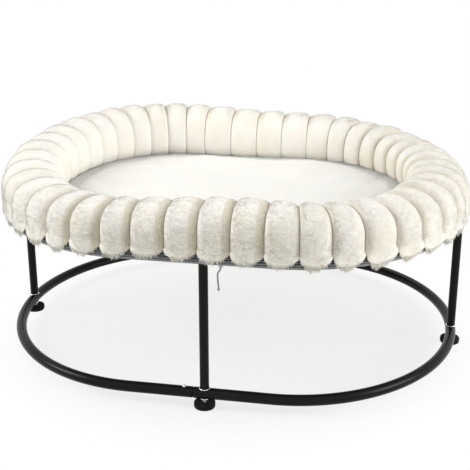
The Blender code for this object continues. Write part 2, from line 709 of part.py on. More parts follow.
def build_bolster(finish):
    """The channel-tufted bolster that lies round the edge of the sling."""
    offsets = (0.0,) + LOBE_CREST_SHARES
    rings = []
    for index, (point, normal) in enumerate(spaced_oval(BOLSTER_LOBES, LOBE_SEAM_INSET, offsets)):
        is_valley = index % len(offsets) == 0
        middle = point - normal * BOLSTER_INSET
        section = lobe_section(ridge_rise(middle), is_valley)
        rings.append([point + normal * out + Vector((0.0, 0.0, height)) for out, height in section])
    bolster = make_object("bolster", skin("bolster", rings, wrap=True), finish["plush_cream"])
    bolster.matrix_world = place_of(CENTRE, TOP_Z)


def pad_ring(inset, height):
    """A ring of the pad's side, moved in from the ring's centre line along its radius.

    Its height counts from the sling's upper side under it.
    """
    ring = []
    for point in flat_edge():
        share = 1.0 - (inset - SLING_FLAT) / point.length
        level = facet_level(share)
        ring.append(Vector((point.x * share, point.y * share, level + SLING_HALF_THICKNESS + GAP + height)))
    return ring


def facet_level(share):
    """Height of the sling's flat facets at a share of the way out."""
    stops = SLING_RING_SHARES + (1.0,)
    for low, high in zip(stops, stops[1:]):
        if share <= high:
            part = (share - low) / (high - low)
            return sling_level(low) + (sling_level(high) - sling_level(low)) * part
    return sling_level(1.0)


def build_pad(finish):
    """The crowned seat pad, which lies on the sling inside the bolster."""
    lift = SLING_HALF_THICKNESS + GAP
    under = [
        [Vector((point.x * share, point.y * share, sling_level(share) + lift)) for point in flat_edge()]
        for share in SLING_RING_SHARES
    ]
    side = [pad_ring(PAD_EDGE_INSET, 0.0), pad_ring(PAD_EDGE_INSET, PAD_EDGE_HEIGHT)]
    shoulder = pad_ring(PAD_SHOULDER_INSET, 0.0)
    for point in shoulder:
        point.z = PAD_SHOULDER_HEIGHT
    top = [
        [Vector((point.x * share, point.y * share, PAD_SHOULDER_HEIGHT + PAD_CROWN * (1.0 - share ** 2)))
         for point in shoulder]
        for share in PAD_CROWN_SHARES
    ]
    pad = make_object("seat_pad", skin("seat_pad", under + side + [shoulder] + top), finish["plush_white"])
    pad.matrix_world = place_of(CENTRE, TOP_Z)


def main():
    """Clear the scene and build the bed."""
    for old in list(bpy.data.objects):
        bpy.data.objects.remove(old)
    finish = finishes()
    for level_name, height, is_base in (("base", BASE_Z, True), ("top", TOP_Z, False)):
        build_ring(level_name, height, is_base, finish)
        build_spigots(level_name, height, is_base, finish)
    build_buttons(finish)
    build_legs(finish)
    build_top_screws(finish)
    build_feet(finish)
    build_sling(finish)
    build_zip_tape(finish)
    build_zip_slider(finish)
    build_zip_pull(finish)
    build_bolster(finish)
    build_pad(finish)


main()
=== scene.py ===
"""Looks of an elevated pet bed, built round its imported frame.

An oval of black tube stands on four levelling feet. A canvas sling hangs in its top ring and
carries a plush bolster, sewn into lobes, and a plush seat pad. Lengths are in metres, in the
frame's own axes: +Z is up, +X is the long way, and the front of the bed faces -Y.
"""

from __future__ import annotations

import json
import logging
import math
from dataclasses import dataclass, field
from enum import Enum
from typing import Any, Callable, Sequence

import bmesh
import bpy
import numpy as np
from mathutils import Matrix, Vector
from mathutils.kdtree import KDTree

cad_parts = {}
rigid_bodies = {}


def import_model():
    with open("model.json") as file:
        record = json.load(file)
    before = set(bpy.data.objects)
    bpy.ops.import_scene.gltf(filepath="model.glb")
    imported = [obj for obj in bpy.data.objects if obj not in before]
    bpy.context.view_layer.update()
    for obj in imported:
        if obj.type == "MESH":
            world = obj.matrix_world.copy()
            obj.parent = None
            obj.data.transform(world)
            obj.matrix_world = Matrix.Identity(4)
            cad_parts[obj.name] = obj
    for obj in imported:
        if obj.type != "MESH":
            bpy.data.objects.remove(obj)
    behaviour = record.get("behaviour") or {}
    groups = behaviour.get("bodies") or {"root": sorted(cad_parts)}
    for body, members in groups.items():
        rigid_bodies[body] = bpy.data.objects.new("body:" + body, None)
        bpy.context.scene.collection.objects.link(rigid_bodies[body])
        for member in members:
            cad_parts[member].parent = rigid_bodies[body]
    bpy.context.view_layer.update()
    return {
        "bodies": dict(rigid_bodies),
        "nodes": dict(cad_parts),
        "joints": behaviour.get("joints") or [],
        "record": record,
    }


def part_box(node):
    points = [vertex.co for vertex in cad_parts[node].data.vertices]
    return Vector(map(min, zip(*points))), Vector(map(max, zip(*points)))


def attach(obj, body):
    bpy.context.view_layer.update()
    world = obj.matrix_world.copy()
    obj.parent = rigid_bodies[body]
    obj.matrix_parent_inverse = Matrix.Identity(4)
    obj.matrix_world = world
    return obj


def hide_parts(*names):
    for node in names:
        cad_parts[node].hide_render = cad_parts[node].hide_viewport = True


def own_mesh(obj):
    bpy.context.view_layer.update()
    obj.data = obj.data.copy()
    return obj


LOG = logging.getLogger("pet_bed")
BODY = "frame_and_cover"
LEGS = ("left", "front", "right", "back")
SEAMS = ("front", "back")

MM = 0.001
TAU = 2.0 * math.pi
GAP = 0.3 * MM  # between the slider and its cord
MERGE = 0.002 * MM  # points nearer than this become one
WHITE = (1.0, 1.0, 1.0, 1.0)
FRONT_MIDDLE = 0.75  # the share of the way round, from the +X tip

Array = np.ndarray
Random = np.random.Generator
Mesh = bpy.types.Mesh
Object = bpy.types.Object
Values = dict[str, Array]
Place = Callable[[Array, Array], Array]
Triple = tuple[float, float, float]
Colour = Triple
Span = tuple[float, float]
Wave = tuple[float, int, float]


class Slot(Enum):
    """The record's material slots."""

    POWDER_BLACK = "powder_black"
    ZINC = "zinc"
    FOOT_BLACK = "foot_black"
    SPRING_STEEL = "spring_steel"
    CANVAS_GREY = "canvas_grey"
    ZIP_BLACK = "zip_black"
    CORD_GREY = "cord_grey"
    PLUSH_CREAM = "plush_cream"
    PLUSH_WHITE = "plush_white"


class Value:
    """A number that a shader works out. Python's operators on it add Math nodes."""

    def __init__(self, graph: "Graph", socket: bpy.types.NodeSocket) -> None:
        """Wrap an output socket of a graph.

        Args:
            graph: the graph that holds the socket.
            socket: the output that carries the number.
        """
        self.graph = graph
        self.socket = socket

    def _math(self, operation: str, *operands: "Value | float") -> "Value":
        """Add one Math node.

        Args:
            operation: the node's operation.
            operands: its inputs in order.

        Returns:
            The node's result.
        """
        inputs = dict(enumerate(operands))
        return self.graph.add("ShaderNodeMath", {"operation": operation}, inputs)

    def __add__(self, other: "Value | float") -> "Value":
        """Sum."""
        return self._math("ADD", self, other)

    def __radd__(self, other: float) -> "Value":
        """Sum with a number on the left."""
        return self._math("ADD", other, self)

    def __sub__(self, other: "Value | float") -> "Value":
        """Difference."""
        return self._math("SUBTRACT", self, other)

    def __rsub__(self, other: float) -> "Value":
        """Difference from a number."""
        return self._math("SUBTRACT", other, self)

    def __mul__(self, other: "Value | float") -> "Value":
        """Product."""
        return self._math("MULTIPLY", self, other)

    def __rmul__(self, other: float) -> "Value":
        """Product with a number on the left."""
        return self._math("MULTIPLY", other, self)

    def sine(self) -> "Value":
        """The sine of the value in radians."""
        return self._math("SINE", self)

    def clamped(self, low: float, high: float) -> "Value":
        """The value kept between two numbers."""
        return self._math("MINIMUM", self._math("MAXIMUM", self, low), high)

    def smooth(self, low: float, high: float) -> "Value":
        """A soft step from 0 at low to 1 at high."""
        settings = {"interpolation_type": "SMOOTHSTEP"}
        inputs = {"Value": self, "From Min": low, "From Max": high}
        return self.graph.add("ShaderNodeMapRange", settings, inputs)


class Graph:
    """A tree of shader nodes."""

    def __init__(self, tree: bpy.types.NodeTree) -> None:
        """Keep the tree."""
        self.tree = tree

    def make(self, kind: str, settings: dict[str, Any], inputs: dict[Any, Any]) -> bpy.types.Node:
        """Add any node.

        Args:
            kind: the node's type.
            settings: its own settings, set before its sockets.
            inputs: values or links of its sockets, by name or number.

        Returns:
            The node.
        """
        node = self.tree.nodes.new(kind)
        for name, value in settings.items():
            setattr(node, name, value)
        for key, value in inputs.items():
            if isinstance(value, Value):
                self.tree.links.new(value.socket, node.inputs[key])
            else:
                node.inputs[key].default_value = value
        return node

    def add(self, kind: str, settings: dict[str, Any], inputs: dict[Any, Any], out: Any = 0) -> Value:
        """Add a node and take one of its outputs.

        Args:
            kind: the node's type.
            settings: its own settings.
            inputs: values or links of its sockets.
            out: the output's name or number.

        Returns:
            The output as a value.
        """
        return Value(self, self.make(kind, settings, inputs).outputs[out])

    def place(self, scale: Sequence[float] = (1.0, 1.0, 1.0)) -> Value:
        """Object coordinates, stretched.

        Args:
            scale: the stretch along each axis.

        Returns:
            The coordinates.
        """
        return self.stretch(self.add("ShaderNodeTexCoord", {}, {}, "Object"), scale)

    def stretch(self, vector: Value, scale: Sequence[float]) -> Value:
        """Coordinates, stretched along each axis."""
        return self.add("ShaderNodeMapping", {}, {"Vector": vector, "Scale": scale})

    def noise(self, vector: Value, scale: float, detail: float = 2.0, roughness: float = 0.5) -> Value:
        """Noise from 0 to 1.

        Args:
            vector: the coordinates.
            scale: features in a metre.
            detail: octaves.
            roughness: the share of the finer octaves.

        Returns:
            The noise.
        """
        inputs = {"Vector": vector, "Scale": scale, "Detail": detail, "Roughness": roughness}
        return self.add("ShaderNodeTexNoise", {}, inputs)

    def attribute(self, name: str) -> Value:
        """A number stored on the mesh."""
        return self.add("ShaderNodeAttribute", {"attribute_name": name}, {}, "Fac")

    def mix(self, share: Value | float, first: Value | Colour, second: Value | Colour) -> Value:
        """Mix two colours.

        Args:
            share: how much of the second.
            first: a colour or a link.
            second: a colour or a link.

        Returns:
            The mixed colour.
        """
        settings = {"data_type": "RGBA", "clamp_factor": True}
        sides = [side if isinstance(side, Value) else (*side, 1.0) for side in (first, second)]
        inputs = {0: share, 6: sides[0], 7: sides[1]}
        return self.add("ShaderNodeMix", settings, inputs, 2)

    def seen(self) -> Value:
        """1 for rays from the camera and from reflections, 0 for rays that carry light."""
        path = self.make("ShaderNodeLightPath", {}, {})
        camera, glossy = (Value(self, path.outputs[f"Is {kind} Ray"]) for kind in ("Camera", "Glossy"))
        return (camera + glossy).clamped(0.0, 1.0)


class Surface(Graph):
    """The nodes of one material, with a Principled shader at their end."""

    def __init__(self, name: str) -> None:
        """Start a material with nothing but its output and shader.

        Args:
            name: the material's name.
        """
        self.material = bpy.data.materials.new(name)
        self.material.use_nodes = True
        super().__init__(self.material.node_tree)
        self.shader = self.tree.nodes["Principled BSDF"]

    def bump(self, height: Value, distance: float) -> None:
        """Feed a height in metres times distance to the shader's normal."""
        inputs = {"Height": height, "Distance": distance, "Strength": 1.0}
        normal = self.add("ShaderNodeBump", {}, inputs, "Normal")
        self.tree.links.new(normal.socket, self.shader.inputs["Normal"])

    def finish(self, **sockets: Value | float | Colour) -> bpy.types.Material:
        """Set the shader's sockets.

        Args:
            sockets: values by socket name, with _ for a space.

        Returns:
            The material.
        """
        for name, value in sockets.items():
            target = self.shader.inputs[name.replace("_", " ")]
            if isinstance(value, Value):
                self.tree.links.new(value.socket, target)
            else:
                target.default_value = (*value, 1.0) if isinstance(value, tuple) else value
        return self.material


@dataclass(frozen=True)
class HardFinish:
    """What the hard finishes share: two shades in soft clouds over a fine grain."""

    colour: Colour
    worn: Colour
    roughness: float
    uneven: float
    cloud_scale: float
    cloud_steps: Span
    grain_scale: float
    grain_height: float
    cloud_detail: float = 2.0
    grain_detail: float = 2.0
    grain_stretch: Triple = (1.0, 1.0, 1.0)
    metallic: float = 0.0
    specular: float = 0.5

    def build(self, name: str) -> bpy.types.Material:
        """Make the material."""
        graph = Surface(name)
        cloud = graph.noise(graph.place(), self.cloud_scale, self.cloud_detail)
        grain = graph.noise(graph.place(self.grain_stretch), self.grain_scale, self.grain_detail)
        graph.bump(grain, self.grain_height)
        return graph.finish(
            Base_Color=graph.mix(cloud.smooth(*self.cloud_steps), self.colour, self.worn),
            Metallic=self.metallic,
            Roughness=self.roughness + cloud * self.uneven,
            Specular_IOR_Level=self.specular,
        )


@dataclass(frozen=True)
class PowderCoat(HardFinish):
    """Satin black powder coat with a fine orange peel."""

    colour: Colour = (0.0050, 0.0050, 0.0045)
    worn: Colour = (0.0085, 0.0085, 0.0075)
    roughness: float = 0.23
    uneven: float = 0.08
    cloud_scale: float = 14.0
    cloud_steps: Span = (0.35, 0.75)
    grain_scale: float = 900.0
    grain_height: float = 0.06 * MM
    cloud_detail: float = 3.0
    grain_detail: float = 1.0
    specular: float = 0.12


@dataclass(frozen=True)
class PlatedMetal(HardFinish):
    """Plated or bare metal with fine turning marks."""

    colour: Colour = (0.84, 0.84, 0.82)
    worn: Colour = (0.66, 0.66, 0.64)
    roughness: float = 0.2
    uneven: float = 0.14
    cloud_scale: float = 180.0
    cloud_steps: Span = (0.4, 0.8)
    grain_scale: float = 2200.0
    grain_height: float = 0.03 * MM
    grain_stretch: Triple = (0.15, 0.15, 1.0)
    metallic: float = 1.0


@dataclass(frozen=True)
class MouldedPlastic(HardFinish):
    """Matte black plastic with a fine spark texture."""

    colour: Colour = (0.0045, 0.0045, 0.0048)
    worn: Colour = (0.010, 0.010, 0.010)
    roughness: float = 0.5
    uneven: float = 0.1
    cloud_scale: float = 120.0
    cloud_steps: Span = (0.45, 0.8)
    grain_scale: float = 2600.0
    grain_height: float = 0.08 * MM
    specular: float = 0.1


@dataclass(frozen=True)
class Weave:
    """Plain woven cloth whose threads follow the piece's own UV map, in metres."""

    warp: Colour = (0.23, 0.235, 0.245)
    weft: Colour = (0.36, 0.365, 0.375)
    fleck: Colour = (0.10, 0.10, 0.105)
    threads: float = 900.0
    thread_height: float = 0.35 * MM
    slub_scales: tuple[float, float] = (60.0, 700.0)
    slub_height: float = 0.3
    fleck_share: float = 0.75
    over_steps: Span = (-0.35, 0.35)
    fleck_steps: Span = (0.42, 0.66)
    stripe_steps: Span = (-0.5, 0.2)
    roughness: float = 0.88
    sheen: float = 0.15
    stripe: Colour = (0.010, 0.010, 0.011)
    stripe_pitch: float = 2.8 * MM

    def build(self, name: str) -> bpy.types.Material:
        """Make the material."""
        graph = Surface(name)
        plan = graph.add("ShaderNodeUVMap", {"uv_map": "cloth"}, {})
        parts = graph.make("ShaderNodeSeparateXYZ", {}, {"Vector": plan})
        across, along = (Value(graph, parts.outputs[key]) for key in ("X", "Y"))
        turn = self.threads * math.pi
        checker = (across * turn).sine() * (along * turn).sine()
        over = checker.smooth(*self.over_steps)
        ends, picks = (
            graph.noise(graph.stretch(plan, (*scales, 1.0)), 1.0, 3.0)
            for scales in (self.slub_scales, self.slub_scales[::-1])
        )
        heather = (ends * over + picks * (1.0 - over)).smooth(*self.fleck_steps)
        graph.bump(checker * checker + (ends + picks) * self.slub_height, self.thread_height)
        base = graph.mix(over, self.warp, self.weft)
        colour = graph.mix(heather * self.fleck_share, base, self.fleck)
        wave = (graph.attribute("level") * (TAU / self.stripe_pitch)).sine()
        striped = wave.smooth(*self.stripe_steps) * graph.attribute("ribbon")
        colour = graph.mix(striped, colour, self.stripe)
        return graph.finish(Base_Color=colour, Roughness=self.roughness, Sheen_Weight=self.sheen)


@dataclass(frozen=True)
class CordYarn:
    """A cord of twisted yarn, with slanting grooves, painted shade in them, and some fuzz."""

    colour: Colour = (0.32, 0.31, 0.28)
    # painted shade in the grooves between the plies
    groove_shade: Colour = (0.12, 0.115, 0.10)
    roughness: float = 0.85
    sheen: float = 0.2
    twist_scale: float = 420.0
    wander: float = 1.5
    fuzz_scale: float = 3000.0
    fuzz_share: float = 0.4
    groove_depth: float = 0.4 * MM
    groove_steps: Span = (0.1, 0.7)

    def build(self, name: str) -> bpy.types.Material:
        """Make the material."""
        graph = Surface(name)
        wave = graph.add(
            "ShaderNodeTexWave",
            {"wave_type": "BANDS", "bands_direction": "DIAGONAL"},
            {"Vector": graph.place(), "Scale": self.twist_scale, "Distortion": self.wander},
            "Fac",
        )
        fuzz = graph.noise(graph.place(), self.fuzz_scale, 2.0)
        graph.bump(wave + fuzz * self.fuzz_share, self.groove_depth)
        colour = graph.mix(wave.smooth(*self.groove_steps), self.groove_shade, self.colour)
        return graph.finish(Base_Color=colour, Roughness=self.roughness, Sheen_Weight=self.sheen)


@dataclass(frozen=True)
class Plush:
    """Short plush pile. Its stored tone holds painted shade: 0 deep in a valley or at a root, 1 at a lit tip.
    """

    tip: Colour = (0.885, 0.854, 0.79)
    # root: the colour of the painted shade in valleys, at roots and on shaded flanks
    root: Colour = (0.66, 0.60, 0.48)
    blush: Colour = (0.86, 0.82, 0.720)
    roughness: float = 0.9
    sheen: float = 0.35
    sheen_roughness: float = 0.5
    specular: float = 0.15
    patch_scale: float = 26.0
    patch_height: float = 0.5
    patch_steps: Span = (0.38, 0.72)
    fine_scale: float = 520.0
    fine_roughness: float = 0.6
    fine_share: float = 0.35
    tone_steps: Span = (0.05, 0.75)
    pile_height: float = 0.5 * MM

    def build(self, name: str) -> bpy.types.Material:
        """Make the material."""
        graph = Surface(name)
        patch = graph.noise(graph.place(), self.patch_scale, 3.0)
        fine = graph.noise(graph.place(), self.fine_scale, 3.0, self.fine_roughness)
        graph.bump(fine + patch * self.patch_height, self.pile_height)
        light = graph.mix(patch.smooth(*self.patch_steps), self.tip, self.blush)
        # the stored tone, with its painted shade, mixes the root colour into the pale pile
        tone = graph.attribute("tone") + (fine - 0.5) * self.fine_share
        share = tone.smooth(*self.tone_steps)
        return graph.finish(
            Base_Color=graph.mix(share, self.root, light),
            Roughness=self.roughness,
            Sheen_Weight=self.sheen,
            Sheen_Roughness=self.sheen_roughness,
            Specular_IOR_Level=self.specular,
        )


class Finishes:
    """Every finish of the bed, one material for each slot."""

    def __init__(self) -> None:
        """Build the materials."""
        recipes: dict[Slot, Any] = {
            Slot.POWDER_BLACK: PowderCoat(),
            Slot.ZINC: PlatedMetal(),
            Slot.FOOT_BLACK: MouldedPlastic(),
            Slot.SPRING_STEEL: PlatedMetal(colour=(0.42, 0.42, 0.43), worn=(0.30, 0.30, 0.31), roughness=0.3),
            Slot.CANVAS_GREY: Weave(),
            Slot.ZIP_BLACK: Weave(
                warp=(0.030, 0.030, 0.032), weft=(0.045, 0.045, 0.048), fleck=(0.015, 0.015, 0.015),
                threads=1400.0, thread_height=0.2 * MM,
            ),
            Slot.CORD_GREY: CordYarn(),
            Slot.PLUSH_CREAM: Plush(),
            # The pad's plush is painted darker than the bolster's: painted shade from the walls round it.
            Slot.PLUSH_WHITE: Plush(
                tip=(0.73, 0.72, 0.68), root=(0.72, 0.70, 0.635), blush=(0.76, 0.745, 0.69),
            ),
        }
        self.materials = {slot: recipe.build(slot.value) for slot, recipe in recipes.items()}

    def dress(self, piece: Object, slot: Slot) -> None:
        """Give a piece its finish, the material made for one slot.

        Args:
            piece: the piece.
            slot: the record's slot.
        """
        piece.data.materials.clear()
        piece.data.materials.append(self.materials[slot])


def smooth_step(value: Array, low: float, high: float) -> Array:
    """A soft step from 0 at low to 1 at high.

    Args:
        value: the numbers.
        low: where the step starts.
        high: where it ends.

    Returns:
        The steps.
    """
    share = np.clip((value - low) / (high - low), 0.0, 1.0)
    return share * share * (3.0 - 2.0 * share)


def ripple(points: Array, wavelength: float, seed: int, waves: int = 9) -> Array:
    """Smooth noise of about -1 to 1, made of plane waves whose directions and lengths are seeded.

    Args:
        points: places, one to a row.
        wavelength: the typical distance between crests.
        seed: picks the waves.
        waves: how many waves are summed.

    Returns:
        One number for each place.
    """
    random = np.random.default_rng(seed)
    total = np.zeros(len(points))
    for _ in range(waves):
        direction = random.normal(size=3)
        direction /= np.linalg.norm(direction)
        stretch = random.uniform(0.6, 1.6)
        phase = random.uniform(0.0, TAU)
        total += np.sin(points @ direction * (TAU * stretch / wavelength) + phase)
    return total / math.sqrt(waves)


def ripples(points: Array, waves: Sequence[Wave]) -> Array:
    """The sum of several ripples, each given by its wavelength, seed and height."""
    return sum(ripple(points, wavelength, seed) * height for wavelength, seed, height in waves)


def part_of(row: Array, start: int, rows: int) -> tuple[Array, Array]:
    """Find the rows of one part of a section.

    Args:
        row: row numbers.
        start: the last row before the part.
        rows: how many rows the part has.

    Returns:
        Whether each row lies in the part, and the share of the way through it.
    """
    share = (row - start) / rows
    return (share > 0.0) & (share <= 1.0), np.clip(share, 0.0, 1.0)


def unit(vectors: Array) -> Array:
    """The vectors at length 1."""
    return vectors / np.maximum(np.linalg.norm(vectors, axis=1, keepdims=True), 1e-9)


def store(mesh: Mesh, name: str, values: Array) -> None:
    """Store a number for each point of a mesh."""
    layer = mesh.attributes.get(name) or mesh.attributes.new(name, "FLOAT", "POINT")
    layer.data.foreach_set("value", values.astype(np.float32).ravel())


def stored(mesh: Mesh, name: str) -> Array:
    """Read back a number for each point of a mesh."""
    values = np.zeros(len(mesh.vertices), np.float32)
    mesh.attributes[name].data.foreach_get("value", values)
    return values.astype(float)


def vectors(mesh: Mesh, name: str) -> Array:
    """Read a vector, co or normal, for each point of a mesh."""
    values = np.zeros(len(mesh.vertices) * 3, np.float32)
    mesh.vertices.foreach_get(name, values)
    return values.reshape(-1, 3).astype(float)


def put(name: str, data: bpy.types.ID) -> Object:
    """Put new data into the scene as an object."""
    thing = bpy.data.objects.new(name, data)
    bpy.context.scene.collection.objects.link(thing)
    return thing


def middle(low: Vector, high: Vector) -> Vector:
    """The middle of a box."""
    return (low + high) / 2.0


def look(thing: Object, place: Sequence[float], heading: Vector) -> None:
    """Place a camera or lamp so that it looks along a heading."""
    thing.location = place
    thing.rotation_mode = "QUATERNION"
    thing.rotation_quaternion = heading.to_track_quat("-Z", "Y")


class Workshop:
    """Makes meshes into pieces of the bed."""

    def __init__(self, finishes: Finishes) -> None:
        """Keep the finishes at hand."""
        self.finishes = finishes

    def piece(self, name: str, mesh: Mesh, slot: Slot, body: str,
              replaces: Sequence[str] = (), sharp: float | None = 35.0) -> Object:
        """Put a finished mesh into the scene.

        Args:
            name: the piece's name.
            mesh: its mesh, in place.
            slot: its finish.
            body: the CAD body that it rides on.
            replaces: the CAD nodes that it stands for.
            sharp: faces that meet at more than this, in degrees, keep a hard edge. None keeps the
                mesh's own shading.

        Returns:
            The piece.
        """
        if sharp is not None:
            mesh.shade_smooth()
            mesh.set_sharp_from_angle(angle=math.radians(sharp))
        piece = put(name, mesh)
        self.finishes.dress(piece, slot)
        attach(piece, body)
        if replaces:
            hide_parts(*replaces)
        LOG.info("%s: %d faces, on %s", name, len(mesh.polygons), body)
        return piece

    @staticmethod
    def to_mesh(name: str, shape: bmesh.types.BMesh) -> Mesh:
        """Turn a bmesh into a mesh and free it."""
        mesh = bpy.data.meshes.new(name)
        shape.to_mesh(mesh)
        shape.free()
        return mesh

    @staticmethod
    def extruded(outline: Sequence[Sequence[float]], reach: Sequence[float]) -> bmesh.types.BMesh:
        """Draw a flat outline out into a solid.

        Args:
            outline: the outline's points.
            reach: how far and which way it is drawn.

        Returns:
            The solid, still to be finished.
        """
        shape = bmesh.new()
        face = shape.faces.new([shape.verts.new(point) for point in outline])
        grown = bmesh.ops.extrude_face_region(shape, geom=[face])
        moved = [item for item in grown["geom"] if isinstance(item, bmesh.types.BMVert)]
        bmesh.ops.translate(shape, verts=moved, vec=reach)
        return shape

    def grid(self, name: str, columns: int, rows: int, place: Place,
             cloth: tuple[float, float] = (1.0, 1.0)) -> Mesh:
        """Bend a flat grid into a closed surface.

        Args:
            name: the mesh's name.
            columns: faces along the first share.
            rows: faces along the second share.
            place: gives the points for the two shares, each from 0 to 1.
            cloth: the real length of both shares, for the UV map.

        Returns:
            The mesh, with its meeting edges merged and both shares stored on its points.
        """
        shape = bmesh.new()
        uv = shape.loops.layers.uv.new("cloth")
        bmesh.ops.create_grid(shape, x_segments=columns, y_segments=rows, size=0.5, calc_uvs=True)
        along = shape.verts.layers.float.new("along")
        across = shape.verts.layers.float.new("across")
        shares = np.array([vert.co[:2] for vert in shape.verts]) + 0.5
        points = place(shares[:, 0], shares[:, 1])
        for vert, share, point in zip(shape.verts, shares, points):
            vert[along] = share[0]
            vert[across] = share[1]
            vert.co = point
        for face in shape.faces:
            for loop in face.loops:
                loop[uv].uv = (loop[uv].uv[0] * cloth[0], loop[uv].uv[1] * cloth[1])
        bmesh.ops.remove_doubles(shape, verts=shape.verts, dist=MERGE)
        bmesh.ops.recalc_face_normals(shape, faces=shape.faces)
        return self.to_mesh(name, shape)

    def turned(self, name: str, profile: Sequence[tuple[float, float]], centre: Vector,
               steps: int = 48) -> Mesh:
        """Spin a profile about a vertical axis.

        Args:
            name: the mesh's name.
            profile: (radius, height) points, as a closed loop or from pole to pole.
            centre: the foot of the axis.
            steps: faces round the axis.

        Returns:
            The mesh.
        """
        shape = bmesh.new()
        verts = [shape.verts.new((centre.x + out, centre.y, centre.z + up)) for out, up in profile]
        edges = [shape.edges.new(pair) for pair in zip(verts, verts[1:])]
        if profile[0][0] > 0.0 and profile[-1][0] > 0.0:
            edges.append(shape.edges.new((verts[-1], verts[0])))
        bmesh.ops.spin(shape, geom=verts + edges, cent=centre, axis=(0.0, 0.0, 1.0), angle=TAU,
                       steps=steps, use_merge=True)
        bmesh.ops.remove_doubles(shape, verts=shape.verts, dist=MERGE)
        bmesh.ops.recalc_face_normals(shape, faces=shape.faces)
        return self.to_mesh(name, shape)


@dataclass
class Oval:
    """Plan of both rings: straight long sides with elliptical ends."""

    half_length: float
    half_width: float
    half_straight: float = 101.5 * MM
    steps: int = 400

    def __post_init__(self) -> None:
        """Work out the centre line, anticlockwise from the +X tip."""
        angle = np.linspace(0.0, 0.5 * math.pi, self.steps)
        reach = self.half_length - self.half_straight
        bend = np.stack([self.half_straight + reach * np.cos(angle), self.half_width * np.sin(angle)], 1)
        bend_normal = unit(np.stack([self.half_width * np.cos(angle), reach * np.sin(angle)], 1))
        across = np.linspace(self.half_straight, 0.0, self.steps)[1:]
        run = np.stack([across, np.full_like(across, self.half_width)], 1)
        quarter = np.concatenate([bend, run])
        facing = np.concatenate([bend_normal, np.tile([0.0, 1.0], (len(run), 1))])
        flip = np.array([-1.0, 1.0])
        half = np.concatenate([quarter, quarter[-2::-1] * flip])
        half_normal = np.concatenate([facing, facing[-2::-1] * flip])
        self.line = np.concatenate([half, -half[1:]])
        self.normal = np.concatenate([half_normal, -half_normal[1:]])

    def travelled(self, inset: float) -> Array:
        """How far each point of a line inside the centre line lies along that line."""
        inner = self.line - self.normal * inset
        return np.concatenate([[0.0], np.cumsum(np.linalg.norm(np.diff(inner, axis=0), axis=1))])

    def length(self, inset: float = 0.0) -> float:
        """The whole length of a line inside the centre line."""
        return float(self.travelled(inset)[-1])

    def at(self, shares: Array, inset: float = 0.0) -> tuple[Array, Array]:
        """Points of the centre line and outward normals.

        Args:
            shares: shares of the length of a line inside the centre line.
            inset: how far inside that line lies.

        Returns:
            The points and the normals, with a zero height.
        """
        travelled = self.travelled(inset)
        where = np.mod(shares, 1.0) * travelled[-1]
        where = np.where(shares == 1.0, travelled[-1], where)
        points, normals = (
            np.stack([np.interp(where, travelled, side[:, k]) for k in (0, 1)] + [np.zeros(len(where))], 1)
            for side in (self.line, self.normal)
        )
        return points, unit(normals)

    def share_near(self, point: Vector) -> float:
        """The share of the centre line's length that lies nearest a point."""
        travelled = self.travelled(0.0)
        away = np.linalg.norm(self.line - np.array([point.x, point.y]), axis=1)
        return float(travelled[int(away.argmin())] / travelled[-1])


@dataclass
class Frame:
    """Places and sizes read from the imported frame."""

    legs: dict[str, Vector] = field(default_factory=dict)
    base_z: float = 0.0
    top_z: float = 0.0
    tube_radius: float = 0.0

    @classmethod
    def read(cls) -> "Frame":
        """Measure the CAD nodes."""
        found = cls()
        for leg in LEGS:
            found.legs[leg] = middle(*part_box(f"leg_tube_{leg}"))
        for level in ("base", "top"):
            low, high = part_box(f"{level}_tube_left")
            setattr(found, f"{level}_z", middle(low, high).z)
            found.tube_radius = (high.z - low.z) / 2.0
        return found

    def axis(self, leg: str) -> Vector:
        """The foot of a leg's axis, on the floor."""
        return Vector((self.legs[leg].x, self.legs[leg].y, 0.0))

    def oval(self) -> Oval:
        """The plan that both rings share."""
        return Oval(half_length=self.legs["right"].x, half_width=self.legs["back"].y)


